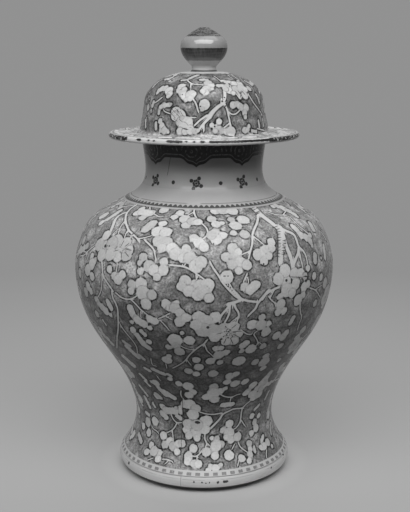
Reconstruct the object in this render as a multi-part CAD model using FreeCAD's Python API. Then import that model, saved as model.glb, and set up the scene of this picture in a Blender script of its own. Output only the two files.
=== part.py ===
import FreeCAD
import Part
import math
import os

# Covered baluster jar in thrown sections, joined on flat rings. Millimetres, +Z up.
# The origin is the centre of the ring that the jar stands on.

# Jar, from the floor to its mouth
jar_height = 396.0

# Foot ring
foot_height = 20.0
foot_contact_radius = 91.0
foot_contact_width = 7.0
foot_roll_overhang = 12.2
foot_bevel_run = 6.0
foot_bevel_rise = 3.6
foot_taper = 5.0
foot_groove = 1.3

# Base
base_thickness = 9.0

# Body, from the top of the foot ring to the bottom of the neck
body_foot_step = 2.0
waist_rise = 46.0
waist_radius = 82.3
belly_radius = 151.7
shoulder_rise = 101.0
wall = 8.0

# Neck and mouth
neck_height = 52.0
neck_radius = 68.2
neck_spread = 3.4
lip_flare = 3.2
lip_rounding = 2.4

# Cover
brim_radius = 109.8
brim_thickness = 6.2
brim_dish = 1.0
dome_radius = 73.8
dome_height = 68.0
dome_fillet = 4.0
cover_wall = 6.0
collar_depth = 24.0
collar_wall = 5.0
collar_taper = 1.2
collar_clearance = 2.0

# Finial: a hollow bulb on a short stem, vented through the crown of the cover
stem_radius = 15.6
stem_height = 8.0
stem_waist_radius = 13.7
knob_seat_radius = 15.9
knob_radius = 26.8
knob_height = 41.4
knob_wall = 7.0
vent_radius = 4.5

# Gap between curved faces of neighbouring sections
luting_gap = 0.3

# Outline shares: how far up the rise, how far across the step in radius
foot_to_waist_shares = ((0.22, 0.36), (0.5, 0.74))
waist_to_belly_shares = ((0.18, 0.085), (0.42, 0.402), (0.69, 0.817), (0.904, 0.977))
belly_to_neck_shares = ((0.16, 0.010), (0.29, 0.052), (0.465, 0.14), (0.6, 0.258),
                        (0.703, 0.458), (0.822, 0.722), (0.92, 0.918))
belly_seam_share = 3
dome_shares = ((0.26, 0.955), (0.5, 0.912), (0.6, 0.882), (0.68, 0.83), (0.76, 0.755),
               (0.84, 0.648), (0.9, 0.52), (0.95, 0.36))
neck_waist_share = 0.42
knob_shares = ((0.16, 0.826), (0.43, 1.0), (0.6, 0.962), (0.71, 0.85), (0.81, 0.65), (0.9, 0.44),
               (0.96, 0.26))

# The roll of the foot swells past the edge it stands on, and the body starts a step in from it
foot_radius = foot_contact_radius + foot_roll_overhang
body_foot_radius = foot_radius - body_foot_step

# The rise from waist to belly takes what the other heights leave of the jar
belly_rise = jar_height - foot_height - waist_rise - shoulder_rise - neck_height

# The neck is waisted: it spreads to the shoulder and flares to the lip
neck_foot_radius = neck_radius + neck_spread
lip_radius = neck_radius + lip_flare

# Levels that the sections share
waist_level = foot_height + waist_rise
belly_level = waist_level + belly_rise
neck_level = belly_level + shoulder_rise
mouth_level = jar_height
brim_level = mouth_level + brim_thickness
crown_level = brim_level + dome_height
knob_level = crown_level + stem_height
tip_level = knob_level + knob_height

# The collar drops into the narrowest part of the neck
collar_radius = neck_radius - wall - collar_clearance
collar_bore_radius = collar_radius - collar_wall


def point(radius, level):
    return FreeCAD.Vector(radius, 0, level)


def line(start, end):
    return Part.makeLine(start, end)


def arc(start, middle, end):
    return Part.Arc(start, middle, end).toShape()


def revolve(edges):
    """Turn a closed outline in the XZ plane about the Z axis."""
    face = Part.Face(Part.Wire(Part.__sortEdges__(edges)))
    solid = face.revolve(FreeCAD.Vector(0, 0, 0), FreeCAD.Vector(0, 0, 1), 360)
    return solid


def between(start, end, shares):
    """Points on the way from start to end, by their shares of the rise and of the step."""
    return [point(start.x + across * (end.x - start.x), start.z + up * (end.z - start.z))
            for up, across in shares]


def smooth(points, start_tangent=None, end_tangent=None):
    """A spline through the points, with its end directions given where they matter."""
    curve = Part.BSplineCurve()
    if start_tangent is None:
        curve.interpolate(Points=points)
    else:
        curve.interpolate(Points=points, InitialTangent=start_tangent, FinalTangent=end_tangent)
    return curve


def level_inset(curve, spot, thickness):
    """The inner point at the same level as an outer one, a wall's thickness in along the normal."""
    slope = curve.tangent(curve.parameter(spot))[0]
    return point(spot.x - thickness * math.hypot(slope.x, slope.z) / abs(slope.z), spot.z)


def normal_inset(curve, spot, thickness):
    """The inner point a wall's thickness in from an outer one, along the normal."""
    slope = curve.tangent(curve.parameter(spot))[0]
    return point(spot.x - thickness * slope.z, spot.z + thickness * slope.x)


def stretch(curve, start, end):
    """The part of a curve between two of its own points."""
    first = curve.parameter(start)
    last = curve.parameter(end)
    return curve.toShape(min(first, last), max(first, last))


def radius_at(curve, level):
    """The radius of a rising curve at a level."""
    fine = curve.discretize(Number=400)
    for low, high in zip(fine, fine[1:]):
        if low.z <= level <= high.z:
            share = (level - low.z) / (high.z - low.z)
            return low.x + share * (high.x - low.x)
    return fine[-1].x


# One outline runs from the foot to the lip, and each thrown section is a stretch of it
body_foot = point(body_foot_radius, foot_height)
body_waist = point(waist_radius, waist_level)
body_belly = point(belly_radius, belly_level)
neck_foot = point(neck_foot_radius, neck_level)
neck_waist = point(neck_radius, neck_level + neck_waist_share * neck_height)
neck_lip = point(lip_radius, mouth_level - lip_rounding)
rising_points = between(body_waist, body_belly, waist_to_belly_shares)
belly_seam = rising_points[belly_seam_share]
outline_points = [body_foot]
outline_points += between(body_foot, body_waist, foot_to_waist_shares)
outline_points += [body_waist]
outline_points += rising_points
outline_points += [body_belly]
outline_points += between(body_belly, neck_foot, belly_to_neck_shares)
outline_points += [neck_foot, neck_waist, neck_lip]
outer_outline = smooth(outline_points)
inner_outline = smooth([level_inset(outer_outline, spot, wall) for spot in outline_points])
inner_spots = {spot.z: level_inset(outer_outline, spot, wall) for spot in outline_points}


def body_section(bottom, top):
    """A thrown wall between two seams, an even thickness all the way."""
    inner_bottom = inner_spots[bottom.z]
    inner_top = inner_spots[top.z]
    return revolve([
        stretch(outer_outline, bottom, top),
        line(top, inner_top),
        stretch(inner_outline, inner_bottom, inner_top),
        line(inner_bottom, bottom),
    ])


def make_foot_ring():
    """A rolled ring with an undercut edge, a tapered recess and a groove where the body meets it."""
    inner_contact = point(foot_contact_radius - foot_contact_width, 0)
    outer_contact = point(foot_contact_radius, 0)
    bevel_top = point(foot_contact_radius + foot_bevel_run, foot_bevel_rise)
    roll_top = point(body_foot_radius, foot_height - foot_groove)
    roll_middle = point(foot_radius, (foot_bevel_rise + foot_height) / 2)
    groove_top = point(body_foot_radius - foot_groove, foot_height)
    recess_top = point(inner_contact.x - foot_taper, foot_height)
    return revolve([
        line(inner_contact, outer_contact),
        line(outer_contact, bevel_top),
        arc(bevel_top, roll_middle, roll_top),
        line(roll_top, groove_top),
        line(groove_top, recess_top),
        line(recess_top, inner_contact),
    ])


def make_base():
    """A flat disc that lies on the foot ring's ledge, inside the foot of the body."""
    top_level = foot_height + base_thickness
    edge_bottom = point(radius_at(inner_outline, foot_height) - luting_gap, foot_height)
    edge_top = point(radius_at(inner_outline, top_level) - luting_gap, top_level)
    return revolve([
        line(point(0, foot_height), edge_bottom),
        line(edge_bottom, edge_top),
        line(edge_top, point(0, top_level)),
        line(point(0, top_level), point(0, foot_height)),
    ])


def make_neck():
    """The neck wall with a rounded lip and a flat seat that the cover rests on."""
    inner_foot = inner_spots[neck_foot.z]
    inner_lip = inner_spots[neck_lip.z]
    seat_outer = point(lip_radius - lip_rounding, mouth_level)
    seat_inner = point(inner_lip.x + lip_rounding / 2, mouth_level)
    turn = lip_rounding * (1 - math.sqrt(0.5))
    outer_middle = point(lip_radius - turn, mouth_level - turn)
    return revolve([
        stretch(outer_outline, neck_foot, neck_lip),
        arc(neck_lip, outer_middle, seat_outer),
        line(seat_outer, seat_inner),
        line(seat_inner, inner_lip),
        stretch(inner_outline, inner_foot, inner_lip),
        line(inner_foot, neck_foot),
    ])


def make_cover_brim():
    """A broad ring with a rounded edge, its top dished a little between edge and dome."""
    edge_rounding = brim_thickness / 2
    dome_foot = dome_radius + dome_fillet
    dish_middle = (dome_foot + brim_radius - edge_rounding) / 2
    under_edge = point(brim_radius - edge_rounding, mouth_level)
    over_edge = point(brim_radius - edge_rounding, brim_level)
    rim_middle = point(brim_radius, mouth_level + edge_rounding)
    return revolve([
        line(point(collar_bore_radius, mouth_level), under_edge),
        arc(under_edge, rim_middle, over_edge),
        arc(over_edge, point(dish_middle, brim_level - brim_dish), point(dome_foot, brim_level)),
        line(point(dome_foot, brim_level), point(collar_bore_radius, brim_level)),
        line(point(collar_bore_radius, brim_level), point(collar_bore_radius, mouth_level)),
    ])


def make_cover_collar():
    """The locating ring under the brim, tapered and rounded so that it finds the mouth."""
    bottom = mouth_level - collar_depth
    bottom_middle = (2 * collar_radius - collar_wall - collar_taper) / 2
    nose_outer = point(collar_radius - collar_taper, bottom + collar_wall / 2)
    nose_inner = point(collar_bore_radius, bottom + collar_wall / 2)
    return revolve([
        line(point(collar_bore_radius, mouth_level), point(collar_radius, mouth_level)),
        line(point(collar_radius, mouth_level), nose_outer),
        arc(nose_outer, point(bottom_middle, bottom), nose_inner),
        line(nose_inner, point(collar_bore_radius, mouth_level)),
    ])


def make_cover_dome():
    """A steep wall that turns over to a flat crown, swept out to the brim at its foot."""
    spring = point(dome_radius, brim_level + dome_fillet)
    crown = point(stem_radius, crown_level)
    points = [spring] + between(point(dome_radius, brim_level), crown,
                                [(up, 1 - across) for up, across in dome_shares]) + [crown]
    upward = point(-dome_fillet, dome_height)
    outer = smooth(points, upward, point(-dome_radius, 0))
    inner_spring = point(dome_radius - cover_wall, spring.z)
    inner_points = [inner_spring] + [normal_inset(outer, spot, cover_wall) for spot in points[1:]]
    inner = smooth(inner_points, upward, point(-dome_radius, 0))
    inner_crown = inner_points[-1]
    turn = dome_fillet * (1 - math.sqrt(0.5))
    fillet_middle = point(dome_radius + turn, brim_level + turn)
    fillet_foot = point(dome_radius + dome_fillet, brim_level)
    inner_foot = point(inner_spring.x, brim_level)
    return revolve([
        arc(spring, fillet_middle, fillet_foot),
        line(fillet_foot, inner_foot),
        line(inner_foot, inner_spring),
        stretch(inner, inner_spring, inner_crown),
        line(inner_crown, point(vent_radius, inner_crown.z)),
        line(point(vent_radius, inner_crown.z), point(vent_radius, crown_level)),
        line(point(vent_radius, crown_level), crown),
        stretch(outer, spring, crown),
    ])


def make_knob_stem():
    """A short waisted ring between the crown and the bulb."""
    stem_foot = point(stem_radius, crown_level)
    stem_waist = point(stem_waist_radius, crown_level + stem_height / 2)
    stem_top = point(knob_seat_radius, knob_level)
    return revolve([
        line(point(vent_radius, crown_level), stem_foot),
        arc(stem_foot, stem_waist, stem_top),
        line(stem_top, point(vent_radius, knob_level)),
        line(point(vent_radius, knob_level), point(vent_radius, crown_level)),
    ])


def make_knob():
    """A hollow bulb with a low point, open at the bottom into the stem's bore."""
    seat = point(knob_seat_radius, knob_level)
    tip = point(0, tip_level)
    sides = [point(across * knob_radius, knob_level + up * knob_height) for up, across in knob_shares]
    points = [seat] + sides + [tip]
    outer = smooth(points, point(knob_radius, knob_radius), point(-knob_radius, 0))
    floor_level = knob_level + knob_wall
    floor_edge = point(vent_radius, floor_level)
    hollow_sides = [normal_inset(outer, spot, knob_wall) for spot in sides[1:]]
    hollow_top = point(0, tip_level - knob_wall)
    hollow = smooth([floor_edge] + hollow_sides + [hollow_top],
                    point(knob_radius, knob_radius / 3), point(-knob_radius, 0))
    return revolve([
        line(point(vent_radius, knob_level), seat),
        stretch(outer, seat, tip),
        line(tip, hollow_top),
        stretch(hollow, floor_edge, hollow_top),
        line(floor_edge, point(vent_radius, knob_level)),
    ])


pieces = {
    "foot_ring": make_foot_ring(),
    "base": make_base(),
    "lower_body": body_section(body_foot, belly_seam),
    "upper_body": body_section(belly_seam, neck_foot),
    "neck": make_neck(),
    "cover_brim": make_cover_brim(),
    "cover_collar": make_cover_collar(),
    "cover_dome": make_cover_dome(),
    "knob_stem": make_knob_stem(),
    "knob": make_knob(),
}

os.makedirs("parts", exist_ok=True)
for name, shape in pieces.items():
    shape.exportStep("parts/" + name + ".step")
    box = shape.BoundBox
    print(name, shape.ShapeType, shape.isValid(), round(shape.Volume / 1000, 1), "cm3",
          "radius", round(box.XMax, 1), "from", round(box.ZMin, 1), "to", round(box.ZMax, 1))
print("overall height", round(tip_level, 1))
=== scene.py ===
import bpy
import math
import numpy as np
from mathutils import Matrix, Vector


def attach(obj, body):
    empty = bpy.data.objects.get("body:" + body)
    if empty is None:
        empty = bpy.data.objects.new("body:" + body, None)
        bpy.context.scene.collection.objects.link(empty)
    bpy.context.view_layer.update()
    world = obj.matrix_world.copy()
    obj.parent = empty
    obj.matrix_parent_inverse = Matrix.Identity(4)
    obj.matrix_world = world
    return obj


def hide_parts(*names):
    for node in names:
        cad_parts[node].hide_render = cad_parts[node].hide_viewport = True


# Covered baluster jar, dressed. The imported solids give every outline. The painted walls are turned
# again on finer grids from those outlines, and carry their painting as distances in millimetres.

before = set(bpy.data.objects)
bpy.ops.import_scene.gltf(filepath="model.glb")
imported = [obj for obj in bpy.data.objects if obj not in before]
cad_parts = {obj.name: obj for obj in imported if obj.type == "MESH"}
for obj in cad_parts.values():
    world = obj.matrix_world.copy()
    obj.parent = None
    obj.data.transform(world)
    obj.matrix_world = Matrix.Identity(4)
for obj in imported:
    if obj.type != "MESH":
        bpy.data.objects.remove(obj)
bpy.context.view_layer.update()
print("frame loaded,", len(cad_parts), "nodes")

mm = 0.001
fullTurn = 2 * math.pi
farOff = 40.0

# Camera: fitted to the jar's outline, level circles and bands in the photograph, in its pixels and in
# millimetres. A look through the photograph is searched between two distances, stride by stride.
cameraFit = {"photoSize": (410, 512), "focalPixels": 990, "distance": 1148, "height": 499, "axisPixel": 204,
             "tilt": math.radians(12), "filmWidth": 36, "search": (900, 1500), "stride": 0.5}
photoWidth, photoHeight = cameraFit["photoSize"]
cosTilt, sinTilt = math.cos(cameraFit["tilt"]), math.sin(cameraFit["tilt"])
ahead = np.array([0, cosTilt, -sinTilt])


def newObject(name, data):
    thing = bpy.data.objects.new(name, data)
    bpy.context.scene.collection.objects.link(thing)
    return thing


def makeCamera():
    data = bpy.data.cameras.new("camera")
    data.sensor_width = cameraFit["filmWidth"]
    data.lens = cameraFit["filmWidth"] * cameraFit["focalPixels"] / photoHeight
    camera = newObject("camera", data)
    aside = (photoWidth / 2 - cameraFit["axisPixel"]) * cameraFit["distance"] / cameraFit["focalPixels"]
    camera.location = Vector((aside, -cameraFit["distance"], cameraFit["height"])) * mm
    camera.rotation_euler = (math.pi / 2 - cameraFit["tilt"], 0, 0)
    bpy.context.scene.camera = camera
    return np.array(camera.location) / mm


eye = makeCamera()


def lookAlong(x, y):
    # The way the camera looks through places in the photograph, given in its pixels
    right = (np.asarray(x, float) - photoWidth / 2) / cameraFit["focalPixels"]
    rise = (photoHeight / 2 - np.asarray(y, float)) / cameraFit["focalPixels"]
    return np.stack([right, cosTilt + rise * sinTilt, rise * cosTilt - sinTilt], -1)


def pixelSize(spot):
    # How many millimetres one pixel of the photograph covers at a place
    return float((spot - eye) @ ahead) / cameraFit["focalPixels"]


def castOn(side, x, y):
    # Where looks through the photograph meet an outline turned about Z, or pass nearest to it
    ways = lookAlong(x, y)
    ways /= np.linalg.norm(ways, axis=-1)[..., None]
    spots = eye + ways[..., None, :] * np.arange(*cameraFit["search"], cameraFit["stride"])[:, None]
    over = np.hypot(spots[..., 0], spots[..., 1]) - np.interp(spots[..., 2], side[:, 1], side[:, 0])
    first = np.where((over < 0).any(-1), (over < 0).argmax(-1), over.argmin(-1))
    spots = np.take_along_axis(spots, first[..., None, None], -2)[..., 0, :]
    radius = np.interp(spots[..., 2], side[:, 1], side[:, 0])
    spots[..., :2] *= (radius / np.hypot(spots[..., 0], spots[..., 1]))[..., None]
    return spots


def levelCircle(x, radius, height):
    # Places on the near half of a level circle that are seen at columns of the photograph
    angles = np.linspace(-0.95 * math.pi, -0.05 * math.pi, 2001)
    spots = np.stack([radius * np.cos(angles), radius * np.sin(angles), np.full(len(angles), height)], -1)
    seen = photoWidth / 2 + cameraFit["focalPixels"] * (spots[:, 0] - eye[0]) / ((spots - eye) @ ahead)
    angle = np.interp(x, seen, angles)
    return np.stack([radius * np.cos(angle), radius * np.sin(angle), np.full(np.shape(x), height)], -1)


def meshFrom(name, points, faces):
    mesh = bpy.data.meshes.new(name)
    faces = np.asarray(faces, np.int32)
    mesh.vertices.add(len(points))
    mesh.vertices.foreach_set("co", np.asarray(points, np.float32).ravel())
    mesh.loops.add(faces.size)
    mesh.loops.foreach_set("vertex_index", faces.ravel())
    mesh.polygons.add(len(faces))
    mesh.polygons.foreach_set("loop_start", np.arange(0, faces.size, faces.shape[1], dtype=np.int32))
    mesh.polygons.foreach_set("use_smooth", np.ones(len(faces), bool))
    mesh.update(calc_edges=True)
    return newObject(name, mesh)


def outlineOf(node):
    # The outline of a turned solid: its mesh edges in the +X half of the XZ plane, walked in order from
    # the outer corner at the bottom up the outer side. Radius and height, in millimetres.
    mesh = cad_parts[node].data
    points = np.empty(len(mesh.vertices) * 3)
    mesh.vertices.foreach_get("co", points)
    points = points.reshape(-1, 3) / mm
    inPlane = (np.abs(points[:, 1]) < 0.002) & (points[:, 0] > -0.001)
    ends = np.empty(len(mesh.edges) * 2, int)
    mesh.edges.foreach_get("vertices", ends)
    ends = ends.reshape(-1, 2)
    ends = ends[inPlane[ends].all(1)]
    nextTo = {}
    for first, last in np.round(points[:, [0, 2]], 3)[ends]:
        first, last = tuple(first), tuple(last)
        if first != last:
            nextTo.setdefault(first, set()).add(last)
            nextTo.setdefault(last, set()).add(first)
    bottom = min(height for radius, height in nextTo)
    here = max(spot for spot in nextTo if spot[1] < bottom + 0.01)
    walked = [here]
    onward = max(nextTo[here], key=lambda spot: spot[1])
    while onward not in walked:
        walked.append(onward)
        fresh = [spot for spot in nextTo[onward] if spot not in walked]
        onward = fresh[0] if fresh else here
    return np.array(walked)


def smoothThrough(points, count):
    # A natural cubic spline through points, by chord length, at evenly spaced places along it
    along = np.concatenate([[0], np.cumsum(np.linalg.norm(np.diff(points, axis=0), axis=1))])
    step = np.diff(along)
    size = len(along)
    system = np.eye(size)
    inner = np.arange(1, size - 1)
    system[inner, inner - 1] = step[:-1]
    system[inner, inner] = 2 * (step[:-1] + step[1:])
    system[inner, inner + 1] = step[1:]
    bend = np.zeros((size, 2))
    rise = np.diff(points, axis=0) / step[:, None]
    bend[inner] = 6 * (rise[1:] - rise[:-1])
    bend = np.linalg.solve(system, bend)
    where = np.linspace(0, along[-1], count)
    run = np.clip(np.searchsorted(along, where, side="right") - 1, 0, size - 2)
    before = (where - along[run])[:, None]
    after = (along[run + 1] - where)[:, None]
    width = step[run][:, None]
    curve = (bend[run] * after ** 3 + bend[run + 1] * before ** 3) / (6 * width)
    curve += (points[run] / width - bend[run] * width / 6) * after
    curve += (points[run + 1] / width - bend[run + 1] * width / 6) * before
    return curve


def turnPoints(outline, columns):
    # Every outline point carried round the Z axis
    angles = np.arange(columns) * fullTurn / columns
    radius, height = outline[:, :1], outline[:, 1:]
    return np.stack([radius * np.cos(angles), radius * np.sin(angles), height * np.ones(columns)], -1)


def runDistance(points, start, end):
    # Distance of each point from a straight run, and its share of the way along it
    run = end - start
    length = max(float(run @ run), 1e-9)
    share = np.clip((points - start) @ run / length, 0, 1)
    return np.linalg.norm(points - start - share[..., None] * run, axis=-1), share


def softLesser(first, second, soft=1.6):
    # The lesser of two distances, with the corner between them rounded, so petals grow together
    share = np.clip(0.5 + (second - first) / (2 * soft), 0, 1)
    return first * share + second * (1 - share) - soft * share * (1 - share)


def eased(places):
    # A run of places with its corners cut twice
    for again in range(2):
        near = places[:-1] * 0.75 + places[1:] * 0.25
        far = places[:-1] * 0.25 + places[1:] * 0.75
        between = np.stack([near, far], 1).reshape(-1, places.shape[1])
        places = np.concatenate([places[:1], between, places[-1:]])
    return places


# The painted walls: columns round, rows up the outer side and, for the brim, the radius at which that
# side ends. Edges sharper than this many degrees stay crisp. Twigs are drawn this much thinner than
# they look in the photograph.
wallGrids = {"lower_body": (520, 150), "upper_body": (520, 150), "neck": (480, 90),
             "cover_brim": (480, 70, 77.8), "cover_dome": (480, 130)}
crispAngle = 38
twigThinned = 0.88
strokeKinds = ("petal", "petalRim", "twigSide", "twigGap", "lineSide", "lineGap", "dotGap", "wear")


class PaintedWall:
    # A turned solid built again on a fine grid. Its outer side keeps, for each kind of brushwork, the
    # distance in millimetres of every grid point from the nearest stroke.
    def __init__(self, node, columns, rows, endRadius=farOff * 10):
        outline = outlineOf(node)
        atTop = (outline[:, 1] > outline[:, 1].max() - 0.01) & (outline[:, 0] < endRadius + 0.01)
        top = int(np.argmax(atTop))
        self.node = node
        self.columns = columns
        self.side = smoothThrough(outline[:top + 1], rows)
        self.outline = np.concatenate([self.side, outline[top + 1:]])
        self.grid = turnPoints(self.side, columns)
        slope = np.gradient(self.side, axis=0)
        slope /= np.linalg.norm(slope, axis=1)[:, None]
        self.normals = turnPoints(slope[:, ::-1] * [1, -1], columns)
        self.fields = {kind: np.full(self.grid.shape[:2], farOff) for kind in strokeKinds}
        self.fields["petalShade"] = np.zeros(self.grid.shape[:2])
        self.dotFrom = np.full(self.grid.shape, farOff)

    def patch(self, start, end, reach):
        # The grid rows and columns within reach of the middle of a run
        place = (start + end) / 2
        reach = reach + np.linalg.norm(end - start) / 2
        radius = math.hypot(place[0], place[1])
        rows = np.flatnonzero(np.hypot(self.side[:, 0] - radius, self.side[:, 1] - place[2]) < reach)
        if not len(rows):
            return None
        nearest = max(self.side[rows, 0].min(), 1.0)
        half = min(int(reach / nearest / fullTurn * self.columns) + 2, self.columns // 2 - 1)
        middle = round(math.atan2(place[1], place[0]) / fullTurn * self.columns)
        return np.ix_(rows, np.arange(middle - half, middle + half + 1) % self.columns)

    def blob(self, start, end, radius, shade):
        # A petal or a bud: everything within a radius of a short run. Later ones lie on earlier ones.
        pick = self.patch(start, end, radius + 6)
        if pick is None:
            return
        away = runDistance(self.grid[pick], start, end)[0] - radius
        petal, rim, shades = self.fields["petal"], self.fields["petalRim"], self.fields["petalShade"]
        petal[pick] = softLesser(petal[pick], away)
        rim[pick] = np.where(away < 0, -away, np.minimum(rim[pick], away))
        shades[pick] = np.where(away < 0.6, shade, shades[pick])

    def petalGap(self, place):
        pick = self.patch(place, place, 3)
        return farOff if pick is None else self.fields["petal"][pick].min()

    def dot(self, place, radius):
        # A round dot: where a point lies from its middle, in dot radii, and its gap to the dot
        pick = self.patch(place, place, radius + 4)
        if pick is None:
            return
        away = self.grid[pick] - place
        gap = np.linalg.norm(away, axis=-1) - radius
        nearer = gap < self.fields["dotGap"][pick]
        self.fields["dotGap"][pick] = np.where(nearer, gap, self.fields["dotGap"][pick])
        self.dotFrom[pick] = np.where(nearer[..., None], away / radius, self.dotFrom[pick])

    def smudge(self, place, radius):
        pick = self.patch(place, place, radius + 6)
        if pick is not None:
            wear = self.fields["wear"]
            wear[pick] = np.minimum(wear[pick], np.linalg.norm(self.grid[pick] - place, axis=-1) - radius)

    def stroke(self, kind, places, startRadius, endRadius):
        # A tapering line: how far a point is to its left or right, in line widths, and its gap to the line
        widths = np.linspace(startRadius, endRadius, len(places))
        side, gap = self.fields[kind + "Side"], self.fields[kind + "Gap"]
        for start, end, first, last in zip(places, places[1:], widths, widths[1:]):
            pick = self.patch(start, end, first + 6)
            if pick is None:
                continue
            away, share = runDistance(self.grid[pick], start, end)
            across = np.cross(end - start, self.grid[pick] - start)
            left = np.einsum("ijk,ijk->ij", across, self.normals[pick])
            radius = first + share * (last - first)
            nearer = away - radius < gap[pick]
            side[pick] = np.where(nearer, np.copysign(away / radius, left), side[pick])
            gap[pick] = np.where(nearer, away - radius, gap[pick])

    def keep(self, mesh, name, kind, key, empty, painted):
        # One painted field as an attribute of the whole wall, empty on its inside
        values = np.full((len(self.outline), self.columns, painted[0, 0].size), empty, np.float32)
        values[:len(painted)] = painted.reshape(values[:len(painted)].shape)
        mesh.attributes.new(name, kind, "POINT").data.foreach_set(key, values.ravel())

    def build(self, material, slot):
        points = turnPoints(self.outline, self.columns)
        loop = len(self.outline)
        row, column = np.meshgrid(np.arange(loop), np.arange(self.columns), indexing="ij")
        rowAhead, columnAhead = (row + 1) % loop, (column + 1) % self.columns
        corners = [(row, column), (row, columnAhead), (rowAhead, columnAhead), (rowAhead, column)]
        faces = np.stack([(up * self.columns + across).ravel() for up, across in corners], -1)
        piece = meshFrom(self.node + "_painted", points.reshape(-1, 3) * mm, faces)
        piece.data.set_sharp_from_angle(angle=math.radians(crispAngle))
        self.fields["outside"] = np.ones(self.grid.shape[:2])
        for name, field in self.fields.items():
            empty = 0.0 if name in ("outside", "petalShade") else farOff
            self.keep(piece.data, name, "FLOAT", "value", empty, field)
        self.keep(piece.data, "dotFrom", "FLOAT_VECTOR", "vector", farOff, self.dotFrom)
        piece.data.materials.append(material)
        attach(piece, "cover" if self.node.startswith("cover") else "jar")
        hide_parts(self.node)


class Canvas:
    # The walls that share one painting, and the outline that runs over all of them
    def __init__(self, *nodes):
        self.walls = [walls[node] for node in nodes]
        self.side = np.concatenate([wall.side for wall in self.walls])
        steps = np.linalg.norm(np.diff(self.side, axis=0), axis=1)
        self.along = np.concatenate([[0], np.cumsum(steps)])
        self.shades = np.random.default_rng(3)

    def spot(self, angle, along):
        radius = np.interp(along, self.along, self.side[:, 0])
        height = np.interp(along, self.along, self.side[:, 1])
        return np.stack([radius * np.cos(angle), radius * np.sin(angle), height], -1)

    def blob(self, start, end, radius):
        # Most petals are pale, a few are washed over
        shade = 0.04 - 0.24 * self.shades.random() ** 2
        for wall in self.walls:
            wall.blob(start, end, radius, shade)

    def stroke(self, kind, places, startRadius, endRadius):
        for wall in self.walls:
            wall.stroke(kind, places, startRadius, endRadius)

    def dot(self, place, radius):
        for wall in self.walls:
            wall.dot(place, radius)

    def copyPhotograph(self, painting):
        # Brushwork given in the photograph's pixels, and fine lines with their half widths in millimetres
        for *places, startRadius, endRadius in painting.get("twigs", ()):
            spots = castOn(self.side, *eased(np.reshape(places, (-1, 2))).T)
            size = pixelSize(spots[0])
            self.stroke("twig", spots, startRadius * size * twigThinned, endRadius * size * twigThinned)
        for *places, radius in painting.get("petals", ()):
            ends = castOn(self.side, places[0::2], places[1::2])
            self.blob(ends[0], ends[-1], radius * pixelSize(ends[0]) * painting["petalSwell"])
        for x, y, radius in painting.get("specks", ()):
            spot = castOn(self.side, [x], [y])[0]
            self.dot(spot, radius * pixelSize(spot))
        for startRadius, endRadius, runs in painting.get("lines", ()):
            for places in runs:
                self.stroke("line", castOn(self.side, places[0::2], places[1::2]), startRadius, endRadius)
        for *places, radius in painting.get("veins", ()):
            ends = castOn(self.side, places[0::2], places[1::2])
            self.stroke("line", ends, radius * pixelSize(ends[0]), radius * pixelSize(ends[0]))

    def hidden(self, angle, along, facing):
        # Whether a place on the outline is turned away from the camera
        step = self.spot(0.0, along + 1) - self.spot(0.0, along - 1)
        normal = np.array([step[2] * math.cos(angle), step[2] * math.sin(angle), -step[0]])
        toEye = eye - self.spot(angle, along)
        return normal @ toEye < facing * np.linalg.norm(normal) * np.linalg.norm(toEye)

    def blossom(self, random, angle, along, size):
        # Five round petals about a centre, seen from a little aside, with stamen dots
        radius = np.interp(along, self.along, self.side[:, 0])
        start, squash, lean = random.uniform(0, fullTurn), random.uniform(0.62, 1), random.uniform(0, math.pi)
        spread, petal = random.uniform(0.92, 1.08) * size, random.uniform(0.72, 0.82) * size

        def aside(turn, away):
            right, rise = away * math.cos(turn), away * math.sin(turn) * squash
            right, rise = (right * math.cos(lean) - rise * math.sin(lean),
                           right * math.sin(lean) + rise * math.cos(lean))
            return self.spot(angle + right / radius, along + rise)

        for leaf in range(5):
            place = aside(start + leaf * fullTurn / 5, spread)
            self.blob(place, place, petal)
        middle = aside(0, 0)
        self.blob(middle, middle, petal * 0.8)
        self.dot(middle, 0.9)
        for stamen in range(7):
            self.dot(aside(start + stamen * fullTurn / 7, size * 0.5), 0.45)

    def buds(self, random, angle, along, size):
        # A short wandering chain of buds
        radius = np.interp(along, self.along, self.side[:, 0])
        way = random.uniform(0, fullTurn)
        for bud in range(random.integers(3, 6)):
            place = self.spot(angle, along)
            self.blob(place, place, random.uniform(0.42, 0.74) * size)
            way += random.uniform(-1.1, 1.1)
            angle += 0.95 * size * math.cos(way) / radius
            along += 0.95 * size * math.sin(way)

    def grow(self, random, planting):
        # Blossoms and buds thrown at places turned from the camera, each tied by a twig to its nearest elder
        low, high = planting["margin"], self.along[-1] - planting["margin"]
        sites = []
        for attempt in range(planting["tries"]):
            angle, along = random.uniform(0, fullTurn), random.uniform(low, high)
            place = self.spot(angle, along)
            if not self.hidden(angle, along, planting["facing"]):
                continue
            if min(wall.petalGap(place) for wall in self.walls) < planting["clearance"]:
                continue
            near = [np.linalg.norm(place - other[0]) for other in sites]
            if near and min(near) < planting["spacing"]:
                continue
            if near and min(near) < planting["twigReach"]:
                elder = sites[int(np.argmin(near))]
                turn = (elder[1] - angle + math.pi) % fullTurn - math.pi
                share = np.linspace(0, 1, 5)
                sway = random.uniform(-0.2, 0.2) * min(near) * np.sin(share * math.pi)
                spots = self.spot(angle + turn * share + sway / place[0:2].dot(place[0:2]) ** 0.5,
                                  along + (elder[2] - along) * share + sway)
                self.stroke("twig", eased(spots), 0.8, 1.3)
            sites.append((place, angle, along))
        for place, angle, along in sites:
            if random.random() < planting["blossomShare"]:
                self.blossom(random, angle, along, random.uniform(0.9, 1.1) * planting["size"])
            else:
                self.buds(random, angle, along, planting["size"])


walls = {node: PaintedWall(node, *grid) for node, grid in wallGrids.items()}
print("walls turned")
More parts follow.
